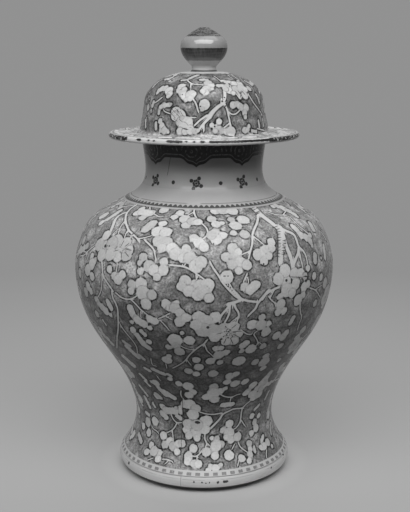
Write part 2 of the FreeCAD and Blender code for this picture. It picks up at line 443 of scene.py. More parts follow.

# The painting on the side towards the camera, placed over the photograph in its own pixels.
# A petal, bud or dark vein is x, y and radius, or both ends and radius. A twig is its places, x and y in
# turn, and the radii of its two ends. Lines are the half widths of their ends and the places of each run.
bodyPainting = {
    "petalSwell": 1.03,
    "petals": [
        # The shoulder
        (142, 209, 4), (137, 213, 4.5), (143, 217.5, 4.5), (151, 213, 5), (147, 211, 4), (104, 215.5, 6),
        (108, 219, 120, 211, 3.5), (101.5, 222.5, 4), (89, 223, 95, 216, 2), (100, 208, 3),
        (109, 204, 118, 200, 2), (180, 213, 4.5), (174.5, 217, 4), (185, 219, 6), (186, 225, 5),
        (193, 221, 6), (198, 222, 5), (164, 210, 5), (211.5, 219, 5), (216, 224, 5), (222, 223, 3),
        (231, 219.5, 4), (243, 219.5, 6.5), (215, 211, 5), (223, 210.5, 6), (232, 211, 6), (273, 206.5, 3),
        (277, 206, 4), (283, 208, 5), (289, 211, 4.5), (294, 214, 4), (297, 216.5, 2.5),
        (285, 202, 289, 205, 1.3), (295, 204, 303, 210, 2.6), (305, 209, 312, 214, 1),
        (299, 208, 308, 214, 1.2), (293, 226.5, 297, 230.5, 3.8), (310, 223.5, 313, 229, 3.6),
        (317, 222.5, 321, 228, 1.2), (142, 212, 149, 213, 4.5),
        # The upper part, left
        (105.5, 246, 6), (121, 250, 6.5), (164, 240, 5.5), (188, 257, 5), (195, 286, 6.5), (84, 240, 5),
        (87, 246, 4), (92, 256, 3.5), (94.5, 261, 4), (92, 264, 6), (87.5, 270, 6), (92, 276.5, 4.5),
        (80, 273, 5), (88, 286, 5), (86, 292, 5), (91, 291, 4), (96, 299, 3), (109.5, 269, 4),
        (114.5, 276, 4.5), (118, 279.5, 5), (122.5, 274.5, 4.5), (117, 240.5, 7), (126, 243, 6.5),
        (129.5, 250, 5), (126, 255, 6.5), (117, 257, 5.5), (99.5, 244.5, 7), (106.3, 235, 5.5),
        (112, 244, 8), (110.5, 254, 7), (101.5, 255, 6.5), (143, 257, 4.5), (139.5, 262.5, 3),
        (149, 266, 6), (154, 270, 6), (157, 277, 4), (164, 262, 4.5), (163.5, 270, 5.5), (140.5, 271, 4),
        (146, 229, 153, 223, 5), (163, 223.5, 4.5), (158, 231, 7), (166, 232, 6.5), (158, 241, 6),
        (166, 243, 7), (162, 248, 5), (172, 248, 6), (176, 254, 6.5), (186, 249, 5), (183, 258, 5),
        (190, 258, 6.5), (196, 266, 7), (201, 262, 6), (185, 281, 6), (181.5, 286, 5), (189, 291, 6),
        (200, 285.5, 6), (198, 295, 6), (206, 291, 6), (208, 285, 6.5), (203, 292, 7), (209, 298, 5),
        (132, 284.5, 5), (131, 291, 4), (141, 284, 6.5), (143, 293, 7.5), (151, 295, 5), (194, 238, 5),
        (199, 243, 5.5), (204, 247, 5),
        # The upper part, right
        (216, 231, 4), (236, 256, 5), (262, 254, 5), (286, 281, 6), (214, 234, 5.5), (223, 235, 4.5),
        (216, 239, 6), (211, 235, 5), (235.5, 225.5, 6.5), (233.5, 233, 3.7), (244.5, 234, 5.3),
        (232.5, 248, 5.5), (226, 257, 5), (236, 259, 7), (232, 264, 5), (241, 262, 5), (247, 265, 5.3),
        (239, 270.5, 4), (238, 252, 4), (258, 254.5, 6), (266, 251.5, 7), (272, 248, 4), (264, 261, 4.5),
        (271, 242, 4.8), (269, 256, 4), (227, 277, 6.5), (244.5, 287, 250, 289.5, 4.7),
        (250, 289.5, 256, 285, 4.9), (285, 270.5, 6.8), (278.5, 279, 6.3), (286.5, 290, 6.8),
        (294.5, 273.5, 6), (301, 273, 5), (295.5, 284, 5.8), (305, 276, 4), (308, 268, 3.5), (314, 276, 4),
        (304, 287, 5), (308, 284, 4), (290, 292, 5), (303, 295, 4), (315, 255.5, 315, 261, 3.6),
        (301, 235, 4.5), (306, 237.5, 4.5), (310, 235, 3), (310, 241, 4.2), (312, 245.5, 2.5),
        (323.5, 246, 325, 258, 2.8), (321, 258, 2), (321, 232, 326, 240, 1.3), (321, 277, 4), (325, 283, 6),
        (279, 297, 3),
        # The lower part, left
        (97, 300, 4), (99, 304, 3.5), (102, 307, 4.5), (106, 311, 4.5), (108, 302, 111, 308, 3.3),
        (111, 315, 2.5), (97, 314, 4), (103, 320, 106, 325, 1.5), (130, 308, 133, 315, 4),
        (136, 318.5, 3.8), (137, 320, 144, 324, 4.2), (148, 317, 2.5), (150, 319, 155, 321, 4),
        (150, 328, 3), (132, 322, 2.5), (133, 330, 3.8), (141, 331, 145, 335, 2.6),
        (137, 335, 143, 343, 3.3), (149, 342, 3.3), (143, 344, 149, 348, 3.3), (123, 341, 130, 346, 2),
        (127, 347, 138, 357, 3.3), (139, 355, 144, 359, 2.5), (124, 357, 133, 365, 4),
        (145, 368, 150, 371, 2.2), (153, 369, 164, 374, 2.7), (168, 374, 171, 376, 2), (170, 379, 3),
        (156, 383, 4.5), (152, 382, 2.5), (158, 387, 166, 395, 2.7), (164, 391, 174, 398, 3), (157, 396, 4),
        (140, 374, 146, 380, 2), (145, 381, 150, 386, 1.5), (140, 386, 147, 395, 2), (146, 304, 6),
        (152, 295, 5), (166, 304, 5), (176, 303, 3), (170, 308, 4), (175, 308, 5.5), (180, 313, 5),
        (179.5, 322, 5.5), (186, 317.5, 5), (175, 340, 7.5), (182, 333, 2.5), (189.5, 340.5, 5.5),
        (168.5, 347, 3.3), (176, 346, 4), (179.5, 351.5, 5.5), (169, 356, 3), (167, 360, 5.5),
        (188.5, 371, 4.5), (196.5, 360, 4.5), (196.5, 374, 4), (199, 367, 5), (179, 383.5, 4),
        (188, 386, 5.5), (193, 392, 4), (189, 395, 4.5),
        # The lower part, right
        (207, 326, 7), (228, 334, 7), (224, 327, 5), (233, 327, 6.5), (238.5, 334, 4.5), (234, 341, 5),
        (226, 341.5, 5), (217, 334, 5), (226, 334, 6), (199, 317, 6.5), (215, 317.5, 6), (205, 322, 8),
        (213, 331, 8), (203, 330, 8), (215, 337, 6), (196, 325, 6), (262, 317.5, 4), (252, 324.5, 5.5),
        (268.5, 323.5, 3.5), (266, 332, 5.5), (261, 325, 6), (280, 296, 3), (281, 304, 5.5),
        (278, 312, 4.3), (284, 311, 4), (298, 300, 6), (292, 293, 5), (293, 318, 290.5, 323, 3),
        (283, 337, 5), (286, 333, 4), (276.5, 335.5, 5), (280.5, 346, 4), (243, 345.5, 4), (246, 343, 4),
        (251, 349, 6), (241.5, 351, 3), (263, 346, 4), (216, 348.5, 3.5), (221, 348, 3), (226, 352.5, 4),
        (219, 355, 5.5), (210.5, 361, 5), (220, 362.5, 3.5), (239, 361, 7), (255, 362, 4.5), (266, 356, 4),
        (264, 362, 6.5), (263, 368, 4), (213, 373.5, 5), (230, 376, 5), (236, 374, 4), (235, 383.5, 5),
        (227, 382, 4), (245, 381.5, 4.5), (214, 386.5, 4.5), (213, 391, 5), (220, 391, 4.5),
        (225, 388.5, 3), (207, 397, 3.5), (214, 399, 5), (253, 385, 5), (258, 388, 5), (248, 391, 4),
        (254, 397, 5), (263, 385, 4), (266, 378, 5), (270, 373, 4), (279, 360, 3), (303, 330, 5),
        (297, 337, 4), (315, 303, 4),
        # Above the foot
        (162.5, 406.5, 3.7), (166, 410, 175, 411, 4), (176, 407.5, 2), (162, 413, 166, 417, 3.3),
        (177, 416, 181, 418.5, 2.3), (146, 412, 149, 415, 2), (145, 397, 150, 407, 2.2),
        (153, 403, 155, 407, 1.5), (156, 394, 161, 398, 2.5), (139, 399, 142.5, 405, 1.7),
        (134.5, 406, 136, 418, 1), (148, 422, 5), (143.5, 426, 3.5), (155, 421, 4.8), (149, 432.5, 4),
        (132, 421, 132, 432, 2), (133.5, 434, 4.5), (131, 437, 3), (139, 434, 141.5, 442, 2.3),
        (163.5, 435.5, 4.3), (165, 444.5, 4), (170, 441, 4), (173, 446, 4.5), (178, 443.5, 3.5),
        (182, 443.5, 3.8), (177, 451.5, 3.5), (151.5, 445, 3.5), (147, 452, 3.5), (159, 453, 4),
        (154, 451, 5), (158, 459, 3.8), (193.5, 448.5, 4.2), (188.5, 456, 4.5), (188, 461, 4.3),
        (194, 463.5, 4), (198.5, 464, 4), (186, 404, 5.5), (190, 404, 6), (196, 408, 5), (187, 430, 4.5),
        (193, 414.5, 6), (206, 421, 6.5), (205, 429.5, 5), (188, 424, 5.5), (196, 432, 5.5), (197, 425, 6),
        (189, 435.5, 4), (197, 438, 3.5), (180, 407, 181, 413, 2), (206, 397, 4), (214, 393, 6.5),
        (215, 399.5, 4.5), (223, 405, 232, 404, 3), (246, 393, 4), (252, 394, 5), (259, 394, 5),
        (262, 388, 5), (255, 409, 259, 405, 1.8), (229.5, 423.5, 4.3), (223, 430, 3.5), (229, 433, 5.5),
        (226, 437, 3), (231, 439.5, 3.8), (237.5, 436.5, 4.5), (212, 438, 2.5), (217, 438.5, 3),
        (221.5, 444, 3.5), (213, 450, 4), (216, 446, 5.5), (215, 455.5, 4), (206.5, 452, 4.5),
        (229, 455, 5.2), (241.5, 458, 4), (249, 443.5, 3.5), (250, 449, 3), (250, 454, 3.5),
        (249, 460.5, 3), (254, 447, 255, 452, 1.7), (252, 416, 3.5), (258.5, 415.5, 3), (254.5, 422, 3.5),
        (256, 428, 4), (251.5, 433, 3.3), (263, 436, 261.5, 441, 2.2), (267.5, 442, 4), (264, 446, 4),
        (261, 447.5, 3), (272, 446, 2.5), (269, 391, 265, 399, 1.8), (270, 402, 267, 414, 2.2),
        (267, 415, 266, 421, 1), (270.5, 423, 271, 434, 1.7), (276, 437, 274, 430, 1), (211, 466.5, 3),
        (215.5, 468, 4), (208, 470.5, 3), (221, 464.8, 2.2),
    ],
    "twigs": [
        # The shoulder
        (136, 205, 130, 209, 127, 213, 125.5, 217, 126, 223, 128.5, 230, 132, 233.5, 136, 237, 140, 242,
         1.7, 0.9), (128.5, 230, 126, 233, 124.5, 238, 1, 0.7),
        (125, 221, 121, 226, 119, 231, 118.5, 237, 1, 0.7),
        (124, 213, 118, 216, 115, 220, 113, 226, 109.5, 234, 1.8, 2.4), (118.5, 229, 113, 234, 0.8, 0.6),
        (194, 212, 190, 214, 186, 217, 0.9, 0.7), (196, 205, 194.5, 209, 194, 212, 1, 0.9),
        (194, 211, 195, 216, 199, 221, 206, 227, 208, 231, 207, 236, 201, 240, 1.1, 0.8),
        (150, 207, 150.5, 213, 155, 214, 159, 217, 163, 216.5, 0.9, 0.6),
        (118, 208, 124, 206.5, 133, 205.5, 0.8, 0.8),
        (252, 206, 256, 210, 260, 214, 265, 218, 272.5, 223.5, 280, 230, 4.2, 3.2),
        (279.5, 227, 280.8, 236, 281, 246, 280.3, 262, 4.1, 3.5),
        (281, 228, 283.5, 237, 286, 246, 289, 253, 291.5, 260, 293, 268, 2.4, 3.2), (280, 228, 288, 231.5,
         294, 234, 296.5, 240, 298.5, 247, 303, 250.5, 306, 256, 307.5, 264, 2.2, 1.2),
        (258, 214, 257.5, 222, 254, 229, 252, 235, 252.5, 244, 250, 252, 248.5, 259, 1.6, 0.9),
        (269, 212.5, 277, 215, 284, 215, 290, 217, 295, 222, 300, 227, 305, 231, 309, 234, 1, 0.8),
        (283, 214.5, 286, 211, 0.8, 0.6),
        # The upper part
        (138, 238.5, 144, 238, 152, 235.5, 0.9, 0.6),
        (145, 240, 150, 245, 154, 249, 155.5, 256, 156, 261, 1.1, 0.8),
        (94, 246, 87, 252, 85, 255, 80.5, 256, 0.9, 0.7), (82, 250, 87.5, 253, 0.7, 0.6),
        (86.5, 254, 88, 260, 0.8, 0.6), (117.5, 262, 117, 268, 116, 273, 0.9, 0.7),
        (102, 262, 102.5, 272, 104, 278, 109, 285, 113, 291, 1.5, 1.1),
        (102, 274, 102, 290, 98, 297, 1, 0.7),
        (116, 293, 122, 298, 128, 299.5, 133, 298.5, 138, 295, 1, 0.8),
        (170, 265, 182, 266, 188, 268, 196, 273, 205, 280, 1.2, 0.8), (186, 262, 184, 267, 0.8, 0.6),
        (196, 274, 197, 284, 0.9, 0.7), (298.5, 247, 298, 253, 296, 258, 293.5, 264, 1.6, 2.2),
        (299, 251, 300.5, 258, 302.5, 267, 1.3, 1), (253, 236, 258, 240, 262, 243, 266, 247, 0.9, 0.6),
        (249, 251.5, 245, 253, 241, 255, 0.8, 0.6),
        (210, 262, 213, 268, 219, 276, 222, 282, 229, 290, 236, 297, 241, 299, 1.1, 1.3),
        (229, 283, 232, 288, 235, 293, 0.8, 0.6), (247, 274, 244, 280, 243, 284, 0.9, 0.6),
        (247.5, 276, 248.5, 283, 0.8, 0.6), (279, 287, 272, 290, 266, 294, 262, 300, 1.5, 1.2),
        (274, 290, 270, 298, 1, 0.8), (310, 288, 316, 290, 320, 297, 0.9, 0.7),
        (316, 289, 322, 285, 0.7, 0.6),
        # The lower part
        (268, 291, 262, 298, 257, 304, 256, 308, 251, 313, 248, 316, 1.9, 1.1),
        (234, 291, 238, 295, 241, 299, 248, 301, 257, 302, 1.3, 1.5),
        (241, 300, 236, 302, 230, 303.5, 228, 304, 1.7, 2),
        (230, 304, 227, 309, 222, 314, 220, 318, 219.5, 322, 1.7, 1),
        (230, 304, 229.5, 312, 228, 317, 224, 323.5, 1.4, 1),
        (234, 304, 236, 309, 238.5, 312, 239, 317, 237, 320, 237, 326, 1.4, 0.9),
        (238, 317, 231, 322, 0.9, 0.6), (269, 297, 271, 300, 275, 303, 279, 304, 0.9, 0.7),
        (274, 302, 276, 307, 0.7, 0.6), (241, 330, 245, 333, 248, 334.5, 252, 334, 0.8, 0.8),
        (257, 331, 253, 334, 256, 338, 258, 342, 256, 346, 0.8, 0.6), (258, 342, 261, 343.5, 0.7, 0.6),
        (300, 303, 300, 312, 302, 317, 299, 324, 297.5, 330, 1.1, 0.8),
        (207, 340, 204, 344, 200, 346, 190, 354, 186, 360, 181, 364, 173, 368, 1.1, 0.8),
        (204, 344, 206, 348, 207, 351, 212, 355, 215, 358.5, 0.9, 0.6),
        (112, 291, 112.5, 297, 116, 304, 118, 309, 118, 318, 118.5, 327, 117, 338, 117, 348, 1.4, 1),
        (119, 322, 123, 329, 128, 335, 133, 341, 137, 347, 137.5, 353, 1.1, 0.7),
        (131, 299.5, 136, 304, 140, 309, 144, 312, 148, 315.5, 1, 0.8), (140.5, 309, 141, 317, 0.7, 0.6),
        (159, 318.5, 165, 316, 170, 313, 0.9, 0.7), (166, 316.5, 171, 319, 0.7, 0.6),
        (160, 320, 165, 325, 169, 330, 0.9, 0.7), (181, 346, 187, 349, 195, 350, 0.8, 0.7),
        (187, 360, 191, 365, 0.8, 0.6), (151, 359, 152, 365, 156, 366, 0.8, 0.6),
        (166, 364, 167, 368, 0.7, 0.6), (157, 376, 160, 380, 0.7, 0.6),
        (181, 391, 180.5, 395, 184, 400, 0.8, 0.6), (171, 414, 173, 419, 177, 423, 182, 422.5, 0.9, 0.7),
        (177, 423, 175, 427, 172.5, 430, 167.5, 432.5, 0.8, 0.6),
        (172.5, 431, 173, 436, 173.5, 440, 0.8, 0.6),
        (152, 426, 153.5, 429, 157, 431, 158.5, 433, 0.8, 0.6), (163, 459, 169, 459.5, 173, 462, 0.8, 0.6),
        (169, 460, 165, 464, 0.7, 0.5), (148, 460, 153, 458, 0.7, 0.6),
        (192, 456, 197, 456.5, 201, 452, 203, 449, 0.9, 0.7), (197, 457, 197, 461, 0.7, 0.6), (211, 428,
         216, 423, 220.5, 418, 222.5, 414, 228, 411.5, 234, 408.5, 242, 408.5, 245, 405, 250, 401, 254, 398,
         1.3, 0.9), (242, 409, 241, 414, 240.5, 420, 239, 424, 236, 428, 234, 429, 1, 0.7),
        (241, 420, 245, 426, 0.8, 0.6), (200, 412, 206, 414, 214, 414.5, 221, 413, 0.8, 0.9),
        (220, 394, 224, 396.5, 231, 397.5, 237, 394.5, 240, 394, 0.9, 0.7), (231, 398, 230, 401, 0.7, 0.6),
        (205, 434, 204.5, 439, 207, 443, 205.5, 447, 0.9, 0.7), (207, 443, 210, 446, 0.7, 0.6),
        (234.5, 444, 232, 449, 0.7, 0.6), (238, 442, 240, 447, 244, 450, 247, 452, 0.8, 0.6),
        (238.5, 461, 237.5, 466, 0.7, 0.6), (266.5, 450, 266, 455, 267, 459, 0.8, 0.6),
    ],
    "specks": [
        (105.4, 246, 1.9), (109.4, 246, 1), (120, 247, 0.7), (120.5, 252, 0.7), (133, 234, 0.9),
        (140, 267, 1), (162, 277, 1), (101.5, 292, 0.9), (123, 217, 0.9), (213.5, 243.5, 0.8),
        (224, 276, 0.7), (228, 276, 0.7), (263.4, 264, 1.1), (276.5, 266.1, 0.9), (286.3, 280.4, 1.6),
        (286.4, 253.7, 0.9), (289.2, 260.3, 0.9), (207.9, 327.4, 1.7), (225.6, 326.7, 0.8),
        (227.8, 329, 0.8), (230.6, 330, 0.8), (228.1, 331.9, 0.8), (224.4, 331.7, 0.7), (226.7, 334.6, 0.8),
        (223.4, 336.7, 0.7), (227.8, 337.4, 0.8), (230.8, 338.1, 0.7), (232.8, 335.8, 0.7),
        (230.8, 333.8, 0.7), (275.5, 359.5, 2.4), (197.6, 422.3, 1.9), (196.2, 422.2, 1.5),
        (199.2, 422.5, 1.2),
    ],
    "veins": [
        (233.3, 331.7, 240, 331, 0.45), (233.9, 334.6, 239.2, 337.2, 0.45), (231, 339.4, 232.6, 343, 0.45),
        (226, 339.2, 224, 342.8, 0.45), (232, 328, 235.8, 325, 0.4), (221.5, 333, 217.5, 334, 0.35),
        (304.5, 276.3, 308.5, 276.6, 0.8), (291.7, 277, 302.5, 277.1, 0.4), (121.5, 245.5, 124, 241, 0.4),
        (125.5, 246, 129, 243.5, 0.4), (126.5, 249.5, 131, 250, 0.4), (125.5, 252.5, 128.5, 256, 0.4),
        (121.5, 253, 121.5, 257.5, 0.4), (118.5, 250, 114.5, 251, 0.35),
    ],
    # Ticks across the boughs of the shoulder, and a hairline crack above the foot
    "lines": [(0.65, 0.4, [
        (250.5, 208.5, 254.5, 207), (252, 210.5, 256.5, 208.5), (254.5, 215, 259, 213),
        (256, 212.5, 260.5, 210.5), (273.5, 227.5, 277.5, 226), (275, 230, 279, 228.6),
        (276, 232.5, 280, 231.2), (276.5, 235, 279.6, 234), (276.8, 238, 280.2, 237.2),
        (276.8, 241, 279.8, 240.4), (276.8, 244, 280.4, 243.6), (276.8, 247, 279.8, 246.8),
        (276.6, 250, 280, 250), (276.4, 253.2, 279.6, 253.4), (276.4, 256.4, 279.4, 256.8),
        (285.4, 240, 282.8, 241), (285.4, 243.4, 282.4, 244.2), (285.2, 246.8, 282.6, 247.4),
        (284.8, 250.4, 282.2, 250.8), (284.4, 254, 282, 254.2),
    ]), (0.5, 0.42, [(182.4, 398, 182.8, 412, 182.2, 424, 181.4, 438, 181, 452, 180.8, 468)])],
}
neckPainting = {"lines": [(0.25, 0.25, [(171, 155, 169.5, 164, 167.5, 175)])]}
coverPainting = {
    "petalSwell": 1.22,
    "petals": [
        (166.5, 79, 2.2), (169.5, 78.5, 2.8), (172, 77.5, 2.2), (170, 81, 1.4), (153, 87.2, 158, 81.8, 1.3),
        (158, 81.8, 162, 79.5, 1), (157.5, 92.8, 159, 89.5, 1.8), (162, 88.5, 3.2), (165.5, 88, 3.2),
        (168.8, 90.5, 4), (169.8, 94, 3), (168, 96.2, 2), (153.7, 102, 152.5, 106, 1.7),
        (151.3, 110, 151, 112.5, 1), (148, 107.5, 2.8), (147, 98.5, 146.3, 102.5, 1), (149.7, 99.5, 0.9),
        (150, 92.5, 1), (158.7, 113.5, 160, 107.5, 1.6), (160.5, 107, 164, 105.2, 2),
        (164, 105, 169.5, 105, 1.9), (171, 104, 1.3), (145.8, 120, 145.8, 127, 1.3), (146.8, 117.5, 1),
        (156, 123, 156, 128.5, 1.7), (160.5, 121, 2.4), (162, 126, 3), (164.5, 130.5, 3.2),
        (168, 131.8, 1.8), (160.5, 130.5, 1.8), (176, 112.5, 4.8), (180, 116, 5.3), (175.5, 116, 4.2),
        (182, 122, 5.2), (187.5, 122.5, 4.8), (183, 127, 4.2), (190, 128.5, 3), (180, 131, 3.3),
        (185, 131.5, 3), (190, 131, 3), (195, 131, 2.6), (198, 130.5, 1.8), (190, 78.3, 198, 75, 1.9),
        (182, 80.4, 188, 79.6, 1.3), (181.5, 86.5, 3.6), (179.5, 90, 3), (183, 92.5, 4.2), (186, 95.5, 4.6),
        (190.5, 94.5, 4.3), (193.5, 93.5, 2.4), (186, 100, 2), (190, 98.8, 2.4), (184.5, 89, 2.5),
        (200.5, 79.8, 207, 79.9, 1.5), (208, 83, 3.8), (211.5, 85.5, 2.8), (206.5, 89, 4), (212, 88.8, 1.8),
        (205.5, 92, 3.2), (203, 91, 2.4), (221, 80.8, 225, 80.4, 1.5), (217.8, 85.5, 223, 85.5, 1.9),
        (226.5, 82, 2.6), (230, 82.5, 3.4), (228, 86.5, 3.4), (229.5, 90.5, 3.6), (225.5, 89, 2.8),
        (235, 84, 4), (236, 89, 4), (240, 83.5, 3.4), (241, 88, 4), (238, 80.8, 1.8),
        (244.8, 80.8, 250, 84.3, 1.3), (249, 88.5, 2.8), (245, 89, 3), (245, 95.3, 3.6),
        (238, 94.2, 240, 97, 2.1), (233, 93, 2.2), (204.5, 104.5, 4.6), (202.5, 109.3, 1.9),
        (219, 121.5, 2.8), (211.8, 125, 2.1), (216, 127.8, 2.8), (219, 129.5, 3.4), (222, 131, 2.6),
        (215.5, 131, 2.3), (226.5, 132, 2.6), (232.8, 105, 3.2), (237.5, 104, 2.6), (239.5, 106, 3),
        (242, 107.5, 3), (246, 107.5, 3.1), (244.5, 113, 2.9), (245.3, 117, 2.1), (231, 131.3, 4.3),
        (244.8, 130.2, 2.8), (247.5, 129.5, 2.2), (249, 126, 1.9), (252, 130.8, 256, 131.6, 1.5),
        (258.5, 121, 259.3, 127, 1.4), (258, 88, 259.5, 93, 1.3), (256, 94.5, 259.3, 102.5, 1.4),
        (261.5, 114.5, 1.4), (262.5, 119, 263.5, 126, 0.9), (228.3, 75.5, 1.3),
    ],
    "twigs": [
        (162, 97.5, 158.5, 100.5, 155, 102.8, 0.9, 0.7), (172.5, 79.2, 175.5, 77.8, 178.5, 77, 1, 0.7),
        (187.5, 80.3, 190.5, 83, 194, 84.3, 203, 84.8, 0.9, 0.7), (191, 84, 190.6, 89, 0.9, 0.7),
        (193, 99, 196, 103, 197.5, 109, 198.6, 112, 1, 0.8),
        (163.5, 109.5, 164.5, 111.6, 170, 113.6, 0.7, 0.6),
        (224, 103, 218, 106.5, 212.5, 112, 209.5, 116.5, 1.5, 3),
        (207, 115.5, 200, 120, 194.5, 125.5, 1.3, 0.9), (209, 118, 204, 123, 200, 128.5, 1.9, 1.2),
        (203.8, 124, 203.8, 131, 1.1, 0.9), (190, 117.5, 195.5, 117.5, 0.8, 0.7),
        (223, 102.5, 225, 98, 224.6, 90, 1.7, 2), (221.5, 99, 221, 103, 0.9, 0.8),
        (224.5, 103.5, 227, 109, 228.4, 116, 229.6, 121, 231, 127, 1.1, 0.9),
        (228.5, 112, 232, 114.6, 236, 114, 239.5, 110.5, 0.9, 0.8), (229, 123.5, 224, 127.8, 0.8, 0.7),
        (248, 94, 253.5, 103, 259, 110, 262, 114.5, 1, 0.9), (214, 76.2, 217, 78, 219.5, 80, 0.7, 0.6),
        (229.5, 76.8, 233, 79, 0.7, 0.6), (231, 74.6, 238.5, 79.4, 0.8, 0.7),
        (236, 75.3, 246, 79.2, 0.8, 0.7), (257.5, 128.6, 264, 130.4, 0.8, 0.8),
    ],
    "specks": [
        (164.3, 94, 1.7), (160.6, 93.4, 1.1), (229.4, 84, 1.5), (243.6, 84.2, 1.9), (222.2, 101.3, 1.1),
        (224.5, 97.5, 0.9), (229.5, 86.4, 0.7), (182.5, 94.5, 0.7), (214.6, 126.5, 1), (162.6, 110.3, 1.4),
        (186, 77.5, 1), (200.5, 106.3, 0.8), (225.6, 106, 0.8), (257.6, 118.4, 1.2), (145.4, 118.4, 0.9),
        (165.5, 113.8, 1.3),
    ],
    "veins": [
        (172.5, 109.5, 175.5, 113, 0.26), (176, 108.7, 179, 112, 0.26), (171.8, 114, 175, 117.5, 0.26),
        (177, 113.5, 179.8, 117.5, 0.26), (174, 119, 177, 121, 0.26), (180.5, 111.5, 182.8, 115.5, 0.26),
        (179.5, 119.5, 182, 121.5, 0.26), (178, 109.6, 176.5, 114.5, 0.26), (187.3, 91, 189.8, 88.7, 0.9),
        (235.2, 91.6, 237.6, 94.4, 0.5), (238.5, 91.6, 241.4, 95.2, 0.5), (242, 91.5, 244.6, 94.2, 0.5),
        (240.2, 96, 241.4, 99, 0.4), (243.8, 84.4, 246, 86.8, 0.5), (184, 128.6, 187, 129.4, 0.7),
        (181, 74.5, 189.5, 74.5, 0.8), (197, 74.4, 213, 74.4, 0.7), (219.5, 74, 226, 74.2, 0.7),
    ],
}

# What grows on the sides away from the camera, in millimetres. Facing is how squarely a place may still
# be turned to the camera. The boughs there are azimuth in degrees from +X and height, in turn, and radii.
bodyPlanting = {"seed": 11, "facing": 0.3, "tries": 2600, "margin": 11, "clearance": 10, "spacing": 21,
                "twigReach": 60, "blossomShare": 0.4, "size": 7.6}
domePlanting = {"seed": 5, "facing": 0.1, "tries": 900, "margin": 8, "clearance": 8, "spacing": 17,
                "twigReach": 45, "blossomShare": 0.35, "size": 6}
brimPlanting = {"facing": 2, "tries": 1500, "margin": 13, "clearance": 4, "spacing": 11,
                "twigReach": 30, "blossomShare": 0.5, "size": 5.2}
boughs = [
    (38, 52, 50, 96, 44, 142, 62, 190, 84, 222, 88, 262, 104, 300, 112, 322, 3.2, 1.6),
    (142, 322, 136, 286, 150, 250, 146, 206, 160, 168, 152, 120, 164, 84, 3.0, 1.4),
    (96, 40, 108, 78, 98, 120, 110, 156, 124, 186, 2.4, 1.3),
    (10, 322, 20, 282, 14, 240, 28, 206, 2.6, 1.3),
]

# White that runs from the dome out on to the brim, and dashes of dark line and worn glaze round its edge:
# where they start and end in the photograph, the dashes with their half widths
brimPainting = {
    "inner": {"radius": 83, "height": 403}, "innerPetal": 4, "rim": {"radius": 109.6, "height": 400.4},
    "front": [(161, 169), (178, 197), (216, 235), (245, 254)],
    "dashPlaces": 12,
    "dashes": [
        (137.6, 140, 1.7), (148.2, 148.6, 1.2), (153.7, 154.1, 1.1), (167.8, 181.3, 1.6),
        (186.2, 186.6, 1.3), (193.9, 194.3, 1.3), (201, 203.8, 1.4), (210.5, 228, 1.6), (229, 272, 1.5),
    ],
    "worn": [(108.5, 125.5), (271, 300)], "wornPlaces": 40, "wornRadius": 2.6,
}


def paintBody():
    body = Canvas("lower_body", "upper_body")
    for *places, startRadius, endRadius in boughs:
        angles, heights = eased(np.reshape(places, (-1, 2))).T
        along = np.interp(heights, body.side[:, 1], body.along)
        body.stroke("twig", body.spot(np.radians(angles), along), startRadius, endRadius)
    body.copyPhotograph(bodyPainting)
    body.grow(np.random.default_rng(bodyPlanting["seed"]), bodyPlanting)


def paintCover():
    dome, brim = Canvas("cover_dome"), Canvas("cover_brim")
    random = np.random.default_rng(domePlanting["seed"])
    dome.copyPhotograph(coverPainting)
    dome.grow(random, domePlanting)
    for ends in brimPainting["front"]:
        start, end = levelCircle(ends, **brimPainting["inner"])
        brim.blob(start, end, brimPainting["innerPetal"])
    brim.grow(random, brimPlanting)
    for start, end, size in brimPainting["dashes"]:
        places = np.linspace(start, end, brimPainting["dashPlaces"])
        brim.stroke("line", levelCircle(places, **brimPainting["rim"]), size, size)
    for start, end in brimPainting["worn"]:
        places = np.linspace(start, end, brimPainting["wornPlaces"])
        for place in levelCircle(places, **brimPainting["rim"]):
            walls["cover_brim"].smudge(place, brimPainting["wornRadius"])


paintBody()
print("body painted")
Canvas("neck").copyPhotograph(neckPainting)
paintCover()
print("cover painted")


# The glazes: their tones and gloss, and how far and how widely a glazed surface waves, in millimetres
glaze = {"white": 0.48, "petal": 0.53, "whiteDrift": 0.05, "driftPeriod": 42, "roughness": 0.09, "gloss": 0.2,
         "paintedRoughness": 0.25, "wobble": 0.35, "wobblePeriod": 34, "speckSpacing": 21, "speckTone": 0.05}


def grey(tone):
    return (tone, tone, tone, 1)


def laid(under, over, mask):
    # One tone laid on another through a mask
    return under + (over - under) * mask


class Wire:
    # A value in a shader: sums and products written with it become maths nodes
    def __init__(self, paint, socket):
        self.paint = paint
        self.socket = socket

    def maths(self, operation, *values):
        return self.paint.node("ShaderNodeMath", {"operation": operation}, dict(enumerate(values)))

    def __add__(self, other):
        return self.maths("ADD", self, other)

    def __radd__(self, other):
        return self.maths("ADD", other, self)

    def __sub__(self, other):
        return self.maths("SUBTRACT", self, other)

    def __rsub__(self, other):
        return self.maths("SUBTRACT", other, self)

    def __mul__(self, other):
        return self.maths("MULTIPLY", self, other)

    def __rmul__(self, other):
        return self.maths("MULTIPLY", other, self)

    def __truediv__(self, other):
        return self.maths("DIVIDE", self, other)

    def __abs__(self):
        return self.maths("ABSOLUTE", self)

    def fraction(self):
        return self.maths("FRACT", self)

    def sine(self):
        return self.maths("SINE", self)

    def lesser(self, other):
        return self.maths("MINIMUM", self, other)

    def greater(self, other):
        return self.maths("MAXIMUM", self, other)

    def diagonal(self, other):
        return self.maths("SQRT", self * self + other * other)

    def rise(self, start, end):
        # 0 up to one value, 1 past another, even between them
        return self.paint.node("ShaderNodeMapRange", {"clamp": True},
                               {"Value": self, "From Min": start, "From Max": end})

    def fall(self, start, end):
        return 1 - self.rise(start, end)

    def above(self, level, soft):
        return self.rise(level - soft, level + soft)

    def below(self, level, soft):
        return 1 - self.above(level, soft)

    def within(self, low, high, soft):
        return self.above(low, soft) * self.below(high, soft)


